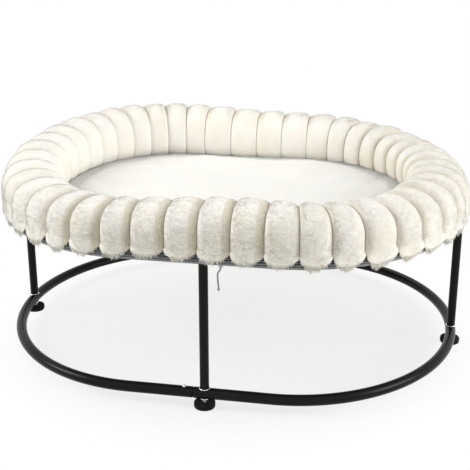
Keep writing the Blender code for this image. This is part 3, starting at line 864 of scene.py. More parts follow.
@dataclass
class Strands:
    """A coat of tapered strands on a piece of plush."""

    count: int
    length: float
    radius: float
    seed: int
    sink: float = 0.6 * MM
    own_shade: float = 0.12
    # how much lighter a strand is at its tip than at its root: painted shade at the roots
    root_shade: float = 0.5
    width_spread: Span = (0.7, 1.3)

    def source(self) -> tuple[Array, Array]:
        """One strand of unit size: a slim closed cone with three sides.

        Returns:
            Its points and its triangles.
        """
        shape = bmesh.new()
        bmesh.ops.create_cone(shape, cap_ends=True, segments=3, radius1=1.0, radius2=0.0, depth=1.0)
        bmesh.ops.remove_doubles(shape, verts=shape.verts, dist=MERGE)
        bmesh.ops.translate(shape, verts=shape.verts, vec=(0.0, 0.0, 0.5))
        bmesh.ops.triangulate(shape, faces=shape.faces)
        bmesh.ops.recalc_face_normals(shape, faces=shape.faces)
        points = np.array([vert.co[:] for vert in shape.verts])
        triangles = np.array([[vert.index for vert in face.verts] for face in shape.faces])
        shape.free()
        return points, triangles

    def roots(self, mesh: Mesh, weight: Array, values: Values,
              random: Random) -> Values:
        """Pick places on a mesh, evenly by area times weight.

        Args:
            mesh: the mesh.
            weight: a weight for each of its points.
            values: numbers or vectors for each of its points.
            random: the source of the picks.

        Returns:
            The values at the picked places, with the places and normals among them.
        """
        mesh.calc_loop_triangles()
        triangles = np.zeros(len(mesh.loop_triangles) * 3, np.int32)
        mesh.loop_triangles.foreach_get("vertices", triangles)
        triangles = triangles.reshape(-1, 3)
        points = vectors(mesh, "co")
        values = dict(values, place=points, normal=vectors(mesh, "normal"))
        a, b, c = (points[triangles[:, k]] for k in range(3))
        size = np.linalg.norm(np.cross(b - a, c - a), axis=1) * weight[triangles].mean(1)
        picked = np.sort(random.choice(len(size), self.count, p=size / size.sum()))
        u, v = random.random((2, self.count))
        u, v = np.where(u + v > 1.0, 1.0 - u, u), np.where(u + v > 1.0, 1.0 - v, v)
        shares = np.stack([1.0 - u - v, u, v], 1)
        corners = triangles[picked]
        return {name: np.einsum("nk,nk...->n...", shares, value[corners]) for name, value in values.items()}

    def leaders(self, places: Array, crowd: int, random: Random) -> Array:
        """Split the strands into small groups, each round one leading strand.

        Args:
            places: where the strands are, or where they count as being.
            crowd: how many strands follow one leader on average.
            random: the source of the picks.

        Returns:
            The number of each strand's leader.
        """
        count = max(8, len(places) // crowd)
        picked = np.sort(random.choice(len(places), count, replace=False))
        tree = KDTree(count)
        for index, leader in enumerate(picked):
            tree.insert(places[leader], index)
        tree.balance()
        return picked[np.array([tree.find(place)[1] for place in places])]

    def mesh(self, name: str, roots: Array, tips: Array, facing: Array, tone: Array,
             random: Random) -> Mesh:
        """Copy the one strand along every root and tip.

        Args:
            name: the mesh's name.
            roots: where the strands start.
            tips: where they end.
            facing: the cloth's normal at each root.
            tone: the tone at each root.
            random: the source of their turns and widths.

        Returns:
            The mesh of all strands, with a tone at each point.
        """
        source, triangles = self.source()
        heading = tips - roots
        axis = unit(heading)
        helper = np.where(np.abs(axis[:, 2:3]) < 0.8, [[0.0, 0.0, 1.0]], [[1.0, 0.0, 0.0]])
        side = unit(np.cross(axis, helper))
        other = np.cross(axis, side)
        turn = random.uniform(0.0, TAU, len(roots))[:, None]
        first = side * np.cos(turn) + other * np.sin(turn)
        second = np.cross(axis, first)
        width = (self.radius * random.uniform(*self.width_spread, len(roots)))[:, None, None]
        round_about = first[:, None, :] * source[None, :, 0:1] + second[:, None, :] * source[None, :, 1:2]
        points = roots[:, None, :] + round_about * width + heading[:, None, :] * source[None, :, 2:3]
        # painted shade: each strand darker at its root, lighter towards its tip
        tones = np.clip(tone[:, None] + self.root_shade * source[None, :, 2], 0.0, 1.0)
        offsets = np.arange(len(roots))[:, None, None] * len(source)
        corners = (triangles[None, :, :] + offsets).reshape(-1)
        mesh = bpy.data.meshes.new(name)
        mesh.vertices.add(points.shape[0] * points.shape[1])
        mesh.vertices.foreach_set("co", points.astype(np.float32).ravel())
        mesh.loops.add(len(corners))
        mesh.loops.foreach_set("vertex_index", corners.astype(np.int32))
        mesh.polygons.add(len(corners) // 3)
        mesh.polygons.foreach_set("loop_start", np.arange(0, len(corners), 3, dtype=np.int32))
        mesh.update(calc_edges=True)
        store(mesh, "tone", tones)
        mesh.shade_smooth()
        normals = unit((facing[:, None, :] + self.own_shade * round_about).reshape(-1, 3))
        mesh.normals_split_custom_set_from_vertices(normals.astype(np.float32).tolist())
        return mesh


@dataclass(frozen=True)
class LobePaintedShade:
    """Painted shade and light on the plush of a lobe, by where it lies on the lobe and on the bed."""

    # painted shade in the valleys: the tone at a valley and its rise to a crest
    valley: float = 0.38
    crest: float = 0.30
    # how much painted shade falls on one flank of each lobe
    flank_shade: float = 0.7
    far_flank: Span = (0.62, 0.8)
    near_flank: Span = (0.1, 0.3)
    near_share: float = 0.6
    to_right: Span = (0.25, 0.5)
    to_left: Span = (0.5, 0.8)
    left_calm: float = 0.6
    inner_calm: float = 0.75
    # painted light on the left of the inner wall, painted shade on its right
    inner: float = 0.12
    inner_fall: float = 5.2
    inner_span: Span = (0.2, 0.8)

    def at(self, fullness: Array, part: Array, sideways: Array, inside: Array) -> Array:
        """Tones with painted shade: darker in the valleys and on one flank of each lobe.

        That is the far flank on the left of the bed and the near flank on its right.

        Args:
            fullness: 0 in a valley, 1 on a lobe's crest.
            part: the share of the way across the lobe.
            sideways: the place to the right of the middle, as a share of the bed's half length.
            inside: 0 on the outer side, 1 on the wall that faces the pad.

        Returns:
            The tones.
        """
        # painted shade on one flank of each lobe, weaker at the left end and inside
        right = smooth_step(sideways, *self.to_right)
        near = self.near_share * (1.0 - smooth_step(part, *self.near_flank))
        flank_shade = smooth_step(part, *self.far_flank) * (1.0 - right) + near * right
        flank_shade *= 1.0 - self.left_calm * smooth_step(-sideways, *self.to_left)
        flank_shade *= 1.0 - self.inner_calm * inside
        inner = self.inner * (1.0 - self.inner_fall * smooth_step(sideways, *self.inner_span))
        return self.valley + self.crest * fullness - self.flank_shade * flank_shade + inner * inside


@dataclass(frozen=True)
class PileLay:
    """How the pile of the bolster is combed in streaks, and how its fringe hangs in tufts.

    It is rougher towards the right end of the bed, and calmer on the top and inside than outside.
    """

    spread: float = 0.06
    rough_spread: float = 0.2
    rough_climb: float = 0.5
    rough_reach: Span = (30.0 * MM, 190.0 * MM)
    swirls: tuple[Wave, ...] = ((90.0 * MM, 21, 1.0), (25.0 * MM, 22, 0.5))
    streak_squeeze: float = 0.12
    streak_crowd: int = 7
    streak_turn: float = 0.03
    strand_turn: float = 0.05
    lean: float = 0.85
    lift: float = 0.15
    streak_lift: float = 0.015
    strand_lift: float = 0.02
    calm: float = 0.4
    calm_share: float = 0.35
    rough_calm: float = 0.6
    valley_length: float = 0.45
    inner_shorter: float = 0.4
    length_spread: Span = (0.7, 1.25)
    fringe_rows: Span = (0.5, 4.0)
    fringe_crowding: float = 3.5
    fringe_crowded: float = 2.0
    fringe_length: float = 10.0 * MM
    fringe_spread: Span = (0.35, 1.0)
    fringe_fan: float = 1.1
    fan_spread: float = 0.3
    tuft_start: float = 0.25
    tuft_crowd: int = 9
    tuft_pull: float = 0.65
    turned_out: float = 0.8
    # painted highlight on the hanging fringe
    fringe_highlight: float = 0.25
    streak_tone: float = 0.045
    rough_tone: float = 0.05
    strand_tone: float = 0.05


@dataclass
class Bolster:
    """The channel-tufted plush ring round the edge of the sling."""

    oval: Oval
    top_z: float
    lobes: int = 44
    lobe_columns: int = 16
    valley_seed: int = 5
    valley_shift: float = 0.035
    puff_seed: int = 7
    rise_puff: float = 1.0 * MM
    hang_puff: float = 0.9 * MM
    gather: float = 9.5 * MM
    gather_drift: float = 2.0 * MM
    gather_shares: tuple[float, float, float, float] = (0.12, 0.5, 0.6, 1.0)
    seam_inset: float = 10.0 * MM
    inset: float = 34.4 * MM
    half_width: float = 47.4 * MM
    rise: float = 72.6 * MM
    slope_x: float = -0.0161
    slope_y: float = 0.0444
    twist: float = -0.119
    roundness: float = 2.3
    bulge_share: float = 0.38
    pinch_share: float = 0.413
    outer_fall: float = 150.0 * MM
    inner_fall: float = 40.0 * MM
    inner_limit: float = 0.98
    tongue_drop: float = 0.8 * MM
    tuck_start: float = 0.72
    valley_lip: float = 8.2 * MM
    lip_clear: float = 11.2 * MM
    lip_wall: float = 0.9 * MM
    saddle: float = 10.6 * MM
    saddle_inset: float = 6.0 * MM
    saddle_turn: float = 0.66
    seat: float = 1.2 * MM
    foot_share: float = 0.78
    outer_depth: float = 9.8 * MM
    top_depth: float = 9.0 * MM
    inner_depth: float = 4.8 * MM
    crest_share: float = 0.42
    near_power: float = 2.7
    far_power: float = 2.0
    tongue_power: float = 1.7
    front_shares: Span = (0.3, 0.8)
    front_swell: float = 7.0 * MM
    swell_x: float = 40.0 * MM
    swell_reach: float = 113.0 * MM
    right_lean: float = 7.0 * MM
    lean_shares: Span = (0.55, 0.9)
    lean_foot: float = 0.2
    front_hang: float = 3.8 * MM
    end_hang: float = 10.0 * MM
    end_shares: Span = (0.2, 0.6)
    tip_cover: float = 9.0 * MM
    tip_shares: Span = (0.6, 0.82)
    swells: tuple[Wave, ...] = ((60.0 * MM, 3, 0.5 * MM), (22.0 * MM, 4, 0.1 * MM))
    swell_foot: float = 0.4
    valley_swell: float = 0.3
    shown_first: Span = (-0.5, 1.5)
    shown_last: Span = (-3.0, 0.0)
    outer_rows: int = 14
    arch_rows: int = 44
    inner_rows: int = 10
    under_rows: int = 6
    saddle_rows: int = 8
    inner_shares: Span = (0.5, 0.9)
    cover_tone: float = 0.3
    tone: LobePaintedShade = LobePaintedShade()
    lay: PileLay = PileLay()
    pile: Strands = field(default_factory=lambda: Strands(
        count=300000, length=6.8 * MM, radius=0.27 * MM, seed=11))
    pile_pieces: int = 7

    def last_shown(self) -> int:
        """The last row that isn't underneath."""
        return self.outer_rows + self.arch_rows + self.inner_rows

    def rows(self) -> int:
        """Faces round the section."""
        return self.last_shown() + self.under_rows + self.saddle_rows

    def lobe_shares(self, along: Array) -> tuple[Array, Array, Array, Array]:
        """Crowd the columns towards the valleys and shift each valley a little.

        Args:
            along: shares of the whole way round.

        Returns:
            The shares along the seam line, how full the lobe is there, the lobe's number and the
            share of the way across the lobe.
        """
        random = np.random.default_rng(self.valley_seed)
        shift = random.uniform(-self.valley_shift, self.valley_shift, self.lobes)
        count = along * self.lobes
        number = np.minimum(np.floor(count + 1e-6), self.lobes - 1).astype(int)
        part = 0.5 - 0.5 * np.cos(math.pi * np.clip(count - number, 0.0, 1.0))
        start, end = shift[number], shift[(number + 1) % self.lobes]
        share = (number + part + start + (end - start) * part) / self.lobes
        share = share + self.gathering(share)
        near = part < self.crest_share
        away = np.where(near, self.crest_share - part, part - self.crest_share)
        away = away / np.where(near, self.crest_share, 1.0 - self.crest_share)
        power = np.where(near, self.near_power, self.far_power)
        fullness = (1.0 - np.clip(away, 0.0, 1.0) ** power) ** (1.0 / power)
        return share, fullness, number, part

    def gathering(self, share: Array) -> Array:
        """How far the lobes of the front side are drawn towards its middle.

        Args:
            share: shares of the way round.

        Returns:
            What to add to the shares. The steps in gather_shares count quarters of the way round.
        """
        from_middle = (np.mod(share, 1.0) - FRONT_MIDDLE) * 4.0
        away = np.abs(from_middle)
        start, full, ease, end = self.gather_shares
        front = 1.0 - smooth_step(away, ease, end)
        pull = smooth_step(away, start, full) * front
        drawn = self.gather_drift * front - self.gather * pull * np.sign(from_middle)
        return drawn / self.oval.length(self.seam_inset)

    def section(self, across: Array, fullness: Array, rise: Array,
                drop: Array, valley_lip: Array) -> tuple[Array, Array]:
        """The section's points: distance outwards from the ring's centre line, and height.

        Args:
            across: shares of the way round the section.
            fullness: 0 in a valley, 1 on a lobe's crest.
            rise: the ridge's height here.
            drop: how far a lobe hangs below the ring's centre here.
            valley_lip: how high the lower edge of a valley lies over the ring's centre here.

        Returns:
            The distances and the heights.
        """
        row = np.round(across * self.rows())
        power, hollow = self.roundness, 1.0 - fullness
        centre = self.bulge_share * rise
        beside = (1.0 - fullness ** self.near_power) ** (1.0 / self.near_power)
        tongue = (1.0 - beside ** self.tongue_power) ** (1.0 / self.tongue_power)
        lip = valley_lip - (valley_lip + drop) * tongue
        clear = self.lip_clear + self.lip_wall

        down = 1.0 - row / self.outer_rows
        fall = (centre - lip) * down
        height = centre - fall
        wide = self.half_width * (1.0 - np.clip(fall / self.outer_fall, 0.0, 1.0) ** power) ** (1.0 / power)
        on_sleeve = self.inset + np.sqrt(np.maximum(clear ** 2 - height ** 2, 0.0))
        tuck = smooth_step(down, self.tuck_start, 1.0) ** 2
        crest = wide + (np.minimum(on_sleeve, wide) - wide) * tuck
        plain = wide - self.outer_depth
        valley = np.where(height < clear, np.maximum(on_sleeve, plain), plain)
        out = valley + (np.maximum(crest, valley) - valley) * fullness

        start = self.outer_rows
        arch, part = part_of(row, start, self.arch_rows)
        cosine, sine = np.cos(math.pi * part), np.sin(math.pi * part)
        wide = self.half_width * np.sign(cosine) * np.abs(cosine) ** (2.0 / power)
        tall = centre + (rise - centre) * np.abs(sine) ** (2.0 / power)
        side_depth = np.where(cosine > 0.0, self.outer_depth, self.inner_depth)
        over_pinch = tall - self.pinch_share * rise
        drawn = (side_depth + (self.top_depth - side_depth) * sine) * hollow / np.hypot(wide, over_pinch)
        out = np.where(arch, wide * (1.0 - drawn), out)
        height = np.where(arch, tall - over_pinch * drawn, height)

        start += self.arch_rows
        inner, down = part_of(row, start, self.inner_rows)
        fall = (centre - self.seat) * down
        ratio = np.clip(fall / self.inner_fall, 0.0, self.inner_limit)
        wide = -self.half_width * (1.0 - ratio ** power) ** (1.0 / power)
        out = np.where(inner, wide + self.inner_depth * hollow, out)
        height = np.where(inner, centre - fall, height)

        start += self.inner_rows
        under, part = part_of(row, start, self.under_rows + 1)
        foot = -self.half_width * self.foot_share + self.inner_depth * hollow
        out = np.where(under, foot + (self.inset - self.saddle_inset - foot) * part, out)
        height = np.where(under, self.seat + (self.saddle - self.seat) * part, height)

        start += self.under_rows
        saddle = row > start
        part = np.clip((row - start - 1) / self.saddle_rows, 0.0, 1.0)
        first, last = math.pi * self.saddle_turn, np.arcsin(np.clip(lip / self.lip_clear, -1.0, 1.0))
        angle = first + (last - first) * part
        out = np.where(saddle, self.inset + self.lip_clear * np.cos(angle), out)
        height = np.where(saddle, self.lip_clear * np.sin(angle), height)
        return out - self.inset, height

    def place(self, along: Array, across: Array) -> Array:
        """Where the points of the bolster lie."""
        share, fullness, number, _ = self.lobe_shares(along)
        random = np.random.default_rng(self.puff_seed)
        puff = random.uniform(-1.0, 1.0, self.lobes)[number]
        point, normal = self.oval.at(np.clip(share, -1.0, 2.0), self.seam_inset)
        x, y, _ = (point - normal * self.inset).T
        at_front = smooth_step(-y / self.oval.half_width, *self.front_shares)
        swelling = np.exp(-((x - self.swell_x) / self.swell_reach) ** 2) * at_front
        rise = self.rise + self.slope_x * x + self.slope_y * y + self.twist * x * y
        rise += self.rise_puff * puff * fullness + self.front_swell * swelling
        to_end = np.abs(x) / self.oval.half_length
        drop = self.tongue_drop + self.front_hang * swelling + self.hang_puff * puff
        drop += self.end_hang * smooth_step(to_end, *self.end_shares)
        lip = self.valley_lip - self.tip_cover * smooth_step(to_end, *self.tip_shares)
        out, height = self.section(across, fullness, rise, drop, lip)
        lean = smooth_step(x / self.oval.half_length, *self.lean_shares)
        out = out - self.right_lean * lean * smooth_step(height / self.rise, self.lean_foot, 1.0)
        clear = self.lip_clear + self.lip_wall
        free = np.sqrt(np.maximum(clear ** 2 - height ** 2, 0.0))
        on_outside = (across * self.rows() <= self.outer_rows) & (height < clear)
        out = np.where(on_outside, np.maximum(out, free), out)
        placed = point + normal * out[:, None]
        placed[:, 2] = self.top_z + height
        from_ridge = out + self.inset
        sideways = np.sign(from_ridge) * np.minimum(np.abs(from_ridge) / self.half_width, 1.0)
        away = normal * sideways[:, None]
        away[:, 2] = np.clip((height / rise - self.swell_foot) / (1.0 - self.swell_foot), 0.0, 1.0)
        share = self.showing(across) * (self.valley_swell + (1.0 - self.valley_swell) * fullness)
        return placed + unit(away) * (ripples(placed, self.swells) * share)[:, None]

    def showing(self, across: Array) -> Array:
        """1 on the sides and the top, 0 underneath, where the bolster lies on the sling."""
        row = across * self.rows()
        hidden = smooth_step(row - self.last_shown(), *self.shown_last)
        return smooth_step(row, *self.shown_first) * (1.0 - hidden)

    def inside(self, row: Array) -> Array:
        """0 on the outer side, 1 on the wall that faces the pad."""
        return smooth_step((row - self.outer_rows) / self.arch_rows, *self.inner_shares)

    def build(self, shop: Workshop) -> None:
        """Make the bolster and its pile."""
        mesh = shop.grid("bolster_cover", self.lobes * self.lobe_columns, self.rows(), self.place)
        along, row = stored(mesh, "along"), stored(mesh, "across") * self.rows()
        _, fullness, _, part = self.lobe_shares(along)
        sideways = self.oval.at(along)[0][:, 0] / self.oval.half_length
        # painted shade from the lobe's shape and its place on the bed
        tone = self.tone.at(fullness, part, sideways, self.inside(row))
        store(mesh, "tone", tone + self.cover_tone)
        cover = shop.piece("bolster_cover", mesh, Slot.PLUSH_CREAM, BODY, ["bolster"], sharp=80.0)
        self.grow_pile(shop, mesh, along, row)

    def rooted(self, mesh: Mesh, along: Array, row: Array,
               random: Random) -> Values:
        """Pick the roots of the pile and measure where each lies.

        Args:
            mesh: the cover's mesh.
            along: the share round the bed at each point.
            row: the row of the section at each point.
            random: the source of the picks.

        Returns:
            Places, directions and shares for every strand, by name.
        """
        lay = self.lay
        share, fullness, _, part = self.lobe_shares(along)
        point, normal = self.oval.at(share, self.seam_inset)
        weight = (row <= self.last_shown()) * (1.0 + lay.fringe_crowding * (row <= lay.fringe_crowded))
        values = {"share": share, "row": row, "part": part, "fullness": fullness}
        root = self.pile.roots(mesh, weight, dict(values, line=point, outward=normal), random)
        root["facing"], root["outward"] = unit(root["normal"]), unit(root["outward"])
        root["rough"] = smooth_step(root["place"][:, 0], *lay.rough_reach)
        root["hanging"] = 1.0 - smooth_step(root["row"], *lay.fringe_rows)
        root["inside"] = self.inside(root["row"])
        up = smooth_step((root["row"] - self.outer_rows) / self.arch_rows, 0.0, lay.calm_share)
        root["calm"] = lay.calm * up * (1.0 - lay.rough_calm * root["rough"])
        return root

    def streaks(self, root: Values, random: Random) -> Array:
        """Group the strands into long streaks that climb to the right where the pile is rough.

        Args:
            root: what is known of each strand.
            random: the source of the picks.

        Returns:
            The number of each strand's leader.
        """
        climb = self.lay.rough_climb * root["rough"]
        forward, rising = root["share"] * self.oval.length(self.seam_inset), root["place"][:, 2]
        squeezed = np.stack([
            (forward * np.cos(climb) + rising * np.sin(climb)) * self.lay.streak_squeeze,
            ((root["place"] - root["line"]) * root["outward"]).sum(1),
            rising * np.cos(climb) - forward * np.sin(climb),
        ], 1)
        return self.pile.leaders(squeezed, self.lay.streak_crowd, random)

    def headings(self, root: Values, streak: Array, random: Random) -> Array:
        """Which way the strands point: combed along the bed, and hanging in a fan at the lower edge.

        Args:
            root: what is known of each strand.
            streak: the number of each strand's leader.
            random: the source of the spread.

        Returns:
            The directions.
        """
        lay, facing, rough, count = self.lay, root["facing"], root["rough"], len(streak)
        tangent = unit(np.cross([[0.0, 0.0, 1.0]], root["outward"]))
        tangent = unit(tangent - facing * (tangent * facing).sum(1, keepdims=True))
        upward = np.cross(facing, tangent)
        swirl = ripples(root["place"], lay.swirls)
        turn = lay.rough_climb * rough + (lay.spread + lay.rough_spread * rough) * swirl
        turn += random.normal(0.0, lay.streak_turn, count)[streak]
        turn += random.normal(0.0, lay.strand_turn, count)
        comb = tangent * np.cos(turn)[:, None] + upward * np.sin(turn)[:, None]
        fan = lay.fringe_fan * (root["part"] - self.crest_share) + random.normal(0.0, lay.fan_spread, count)
        down = np.array([[0.0, 0.0, -1.0]]) + tangent * fan[:, None]
        comb += (down - comb) * root["hanging"][:, None]
        lift = lay.lift + random.normal(0.0, lay.streak_lift, count)[streak] * (1.0 + rough)
        lift += random.normal(0.0, lay.strand_lift, count)
        lift *= 1.0 - root["calm"]
        return unit(facing * lift[:, None] + comb * lay.lean)

    def lengths(self, root: Values, streak: Array, random: Random) -> Array:
        """How long the strands are: shorter in the valleys and inside, and longest at the fringe.

        Args:
            root: what is known of each strand.
            streak: the number of each strand's leader.
            random: the source of the spread.

        Returns:
            The lengths.
        """
        lay, full, count = self.lay, root["fullness"], len(streak)
        short = lay.valley_length + (1.0 - lay.valley_length) * full
        short *= 1.0 - lay.inner_shorter * root["inside"]
        plain = self.pile.length * short * random.uniform(*lay.length_spread, count)
        fringe = lay.fringe_length * full ** 2 * random.uniform(*lay.fringe_spread, count)[streak]
        return plain + (fringe - plain) * root["hanging"]

    def grow_pile(self, shop: Workshop, mesh: Mesh, along: Array, row: Array) -> None:
        """Cover the bolster with pile.

        Args:
            shop: makes the pieces.
            mesh: the cover's mesh.
            along: the share round the bed at each point.
            row: the row of the section at each point.
        """
        lay, random = self.lay, np.random.default_rng(self.pile.seed)
        root = self.rooted(mesh, along, row, random)
        streak = self.streaks(root, random)
        facing, outward, hanging = root["facing"], root["outward"], root["hanging"]
        heading = self.headings(root, streak, random)
        length = self.lengths(root, streak, random)
        start = root["place"] - facing * self.pile.sink
        tips = start + heading * length[:, None]
        fringe = np.flatnonzero(hanging > lay.tuft_start)
        tuft = fringe[self.pile.leaders(start[fringe], lay.tuft_crowd, random)]
        tips[fringe] += (tips[tuft] - tips[fringe]) * lay.tuft_pull
        shown = unit(facing + (outward - facing) * (lay.turned_out * hanging)[:, None])
        sideways = root["place"][:, 0] / self.oval.half_length
        # painted shade from the lobe's shape and its place on the bed
        tone = self.tone.at(root["fullness"], root["part"], sideways, root["inside"])
        # painted highlight: the hanging fringe is lighter than the rest of the pile
        tone += lay.fringe_highlight * hanging
        tone += (lay.streak_tone + lay.rough_tone * root["rough"]) * random.normal(size=len(streak))[streak]
        tone += random.uniform(-lay.strand_tone, lay.strand_tone, len(streak)) * (1.0 - root["calm"])
        section = (np.mod(root["share"], 1.0) * self.pile_pieces).astype(int)
        for index in range(self.pile_pieces):
            mine = np.minimum(section, self.pile_pieces - 1) == index
            name = f"bolster_pile_{index + 1}"
            coat = self.pile.mesh(name, start[mine], tips[mine], shown[mine], tone[mine], random)
            shop.piece(name, coat, Slot.PLUSH_CREAM, BODY, sharp=None)


@dataclass
class SeatPad:
    """The crowned plush pad inside the bolster."""

    oval: Oval
    top_z: float
    line_inset: float = 40.0 * MM
    edge_inset: float = 78.4 * MM
    flat_share: float = 0.985
    side_bulge: float = 0.03
    top_edge: float = 12.0 * MM
    edge_drop: float = 2.5 * MM
    rim_power: int = 10
    rim_share: float = 0.12
    crown: float = 5.0 * MM
    sling_sag: float = 17.0 * MM
    lift: float = 1.2 * MM
    waves: tuple[Wave, ...] = ((130.0 * MM, 41, 1.6 * MM), (45.0 * MM, 42, 0.5 * MM))
    columns: int = 420
    under_rows: int = 10
    side_rows: int = 10
    top_rows: int = 110
    # the underside's tone and the top's: the darker underside is painted shade
    tones: Span = (0.3, 0.7)
    pile: Strands = field(default_factory=lambda: Strands(
        count=30000, length=4.2 * MM, radius=0.27 * MM, seed=31))
    bare_rows: int = 3
    pile_rows: Span = (2.0, 14.0)
    swirls: tuple[Wave, ...] = ((160.0 * MM, 45, 1.2), (30.0 * MM, 46, 0.4))
    comb_spread: float = 0.25
    stand: float = 0.55
    lean: float = 0.8
    length_spread: Span = (0.7, 1.2)
    tuft_crowd: int = 12
    tuft_pull: float = 0.3
    pile_tone: float = 0.5
    tone_spread: float = 0.08

    def rows(self) -> int:
        """Faces from the middle of the underside to the middle of the top."""
        return self.under_rows + self.side_rows + self.top_rows

    def place(self, along: Array, across: Array) -> Array:
        """Where the points of the pad lie."""
        point, normal = self.oval.at(along)
        line = point - normal * self.line_inset
        edge = 1.0 - (self.edge_inset - self.line_inset) / np.linalg.norm(line, axis=1)
        flat = edge * self.flat_share
        row = np.round(across * self.rows())
        side, part = part_of(row, self.under_rows, self.side_rows)
        over, inward = part_of(row, self.under_rows + self.side_rows, self.top_rows)
        turn = math.pi * (part - 0.5)
        share = flat * np.clip(row / self.under_rows, 0.0, 1.0)
        share = np.where(side, edge * (self.flat_share + self.side_bulge * np.cos(turn)), share)
        share = np.where(over, flat * (1.0 - inward), share)
        floor = self.lift - self.sling_sag * (1.0 - share ** 2)
        low = self.lift - self.sling_sag * (1.0 - flat ** 2)
        rim = self.top_edge - self.edge_drop
        beside = 0.5 * (rim + low) + 0.5 * (rim - low) * np.sin(turn)
        rounded = 1.0 - np.clip(share / flat, 0.0, 1.0) ** self.rim_power
        top = rim + self.edge_drop * rounded + self.crown * (1.0 - (share / edge) ** 2)
        placed = line * share[:, None]
        wave = ripples(placed, self.waves) * smooth_step(inward, 0.0, self.rim_share)
        placed[:, 2] = self.top_z + np.where(over, top, np.where(side, beside, floor)) + wave
        return placed

    def build(self, shop: Workshop) -> None:
        """Make the pad and its short pile."""
        mesh = shop.grid("seat_pad_cover", self.columns, self.rows(), self.place)
        row = stored(mesh, "across") * self.rows()
        # painted shade: the underside is darker than the top
        store(mesh, "tone", np.where(row > self.under_rows, self.tones[1], self.tones[0]))
        cover = shop.piece("seat_pad_cover", mesh, Slot.PLUSH_WHITE, BODY, ["seat_pad"], sharp=80.0)
        self.grow_pile(shop, mesh, row)

    def grow_pile(self, shop: Workshop, mesh: Mesh, row: Array) -> None:
        """Give the pad's side and the edge of its top their pile.

        Args:
            shop: makes the piece.
            mesh: the cover's mesh.
            row: the row of the section at each point.
        """
        random = np.random.default_rng(self.pile.seed)
        up = row - self.under_rows
        weight = (up > self.bare_rows) * (1.0 - smooth_step(up - self.side_rows, *self.pile_rows))
        root = self.pile.roots(mesh, weight, {}, random)
        facing = unit(root["normal"])
        swirl = ripples(root["place"], self.swirls)
        comb = np.stack([np.cos(swirl), np.sin(swirl), np.zeros(len(swirl))], 1)
        comb += random.normal(0.0, self.comb_spread, comb.shape)
        heading = unit(facing * self.stand + unit(comb) * self.lean)
        length = self.pile.length * random.uniform(*self.length_spread, len(swirl))
        start = root["place"] - facing * self.pile.sink
        tips = start + heading * length[:, None]
        tips += (tips[self.pile.leaders(start, self.tuft_crowd, random)] - tips) * self.tuft_pull
        tone = self.pile_tone + random.uniform(-self.tone_spread, self.tone_spread, len(swirl))
        coat = self.pile.mesh("seat_pad_pile", start, tips, facing, tone, random)
        shop.piece("seat_pad_pile", coat, Slot.PLUSH_WHITE, BODY, sharp=None)


@dataclass
class CanvasSling:
    """The canvas panel, whose edge is a sleeve round the top ring."""

    oval: Oval
    top_z: float
    sleeve_radius: float = 9.0 * MM
    cloth: float = 1.0 * MM
    hem: float = 14.0 * MM
    flat_inset: float = 40.0 * MM
    sag: float = 17.0 * MM
    seam_turn: float = math.radians(24.0)
    wrinkles: tuple[Wave, ...] = ((35.0 * MM, 51, 0.18 * MM),)
    wrinkle_roll: float = 20.0 * MM
    columns: int = 440
    panel_rows: int = 24
    hem_rows: int = 6
    sleeve_rows: int = 56
    ribbon_low: float = -0.8 * MM
    ribbon_share: float = 0.62
    margin: float = 27.0 * MM

    def rows(self) -> int:
        """Faces from the middle of the panel to the edge of the sleeve's seam."""
        return self.panel_rows + self.hem_rows + self.sleeve_rows

    def place(self, along: Array, across: Array) -> Array:
        """Where the middle of the cloth lies."""
        point, normal = self.oval.at(along)
        line = point - normal * self.flat_inset
        row = np.round(across * self.rows())
        share = np.clip(row / self.panel_rows, 0.0, 1.0)
        placed = line * share[:, None]
        placed[:, 2] = -self.sag * (1.0 - share ** 2)
        hem, part = part_of(row, self.panel_rows, self.hem_rows)
        out = -self.flat_inset + (self.flat_inset - self.hem) * part
        placed = np.where(hem[:, None], point + normal * out[:, None], placed)
        sleeve, part = part_of(row, self.panel_rows + self.hem_rows, self.sleeve_rows)
        angle = math.pi - self.seam_turn - (TAU - 2.0 * self.seam_turn) * part
        unrolled = np.concatenate([point[:, :2], angle[:, None] * self.wrinkle_roll], 1)
        radius = self.sleeve_radius + ripples(unrolled, self.wrinkles)
        tube = point + normal * (radius * np.cos(angle))[:, None]
        tube[:, 2] = radius * np.sin(angle)
        placed = np.where(sleeve[:, None], tube, placed)
        placed[:, 2] += self.top_z
        return placed

    def build(self, shop: Workshop) -> None:
        """Make the sling."""
        cloth = (self.oval.length(), self.oval.half_width + TAU * self.sleeve_radius)
        mesh = shop.grid("sling_canvas", self.columns, self.rows(), self.place, cloth)
        row = stored(mesh, "across") * self.rows() - self.panel_rows - self.hem_rows
        level = vectors(mesh, "co")[:, 2] - self.top_z
        store(mesh, "level", level - self.ribbon_low)
        above = smooth_step(level, self.ribbon_low - 1.0 * MM, self.ribbon_low)
        store(mesh, "ribbon", above * ((row > 0.0) & (row < self.ribbon_share * self.sleeve_rows)))
        sling = shop.piece("sling_canvas", mesh, Slot.CANVAS_GREY, BODY, ["canvas_sling"], sharp=60.0)
        wall = sling.modifiers.new("wall", "SOLIDIFY")
        wall.thickness = self.cloth
        wall.offset = 0.0
        wide, deep = (2.0 * (half + self.margin) for half in (self.oval.half_length, self.oval.half_width))
        round(self.flat_area(), 3)

    def flat_area(self) -> float:
        """The area of the cut: the panel inside the ring and the strip that goes round the tube."""
        straight = 4.0 * self.oval.half_straight * self.oval.half_width
        ends = math.pi * (self.oval.half_length - self.oval.half_straight) * self.oval.half_width
        strip = self.oval.length() * (TAU * self.sleeve_radius - self.hem)
        return straight + ends + strip


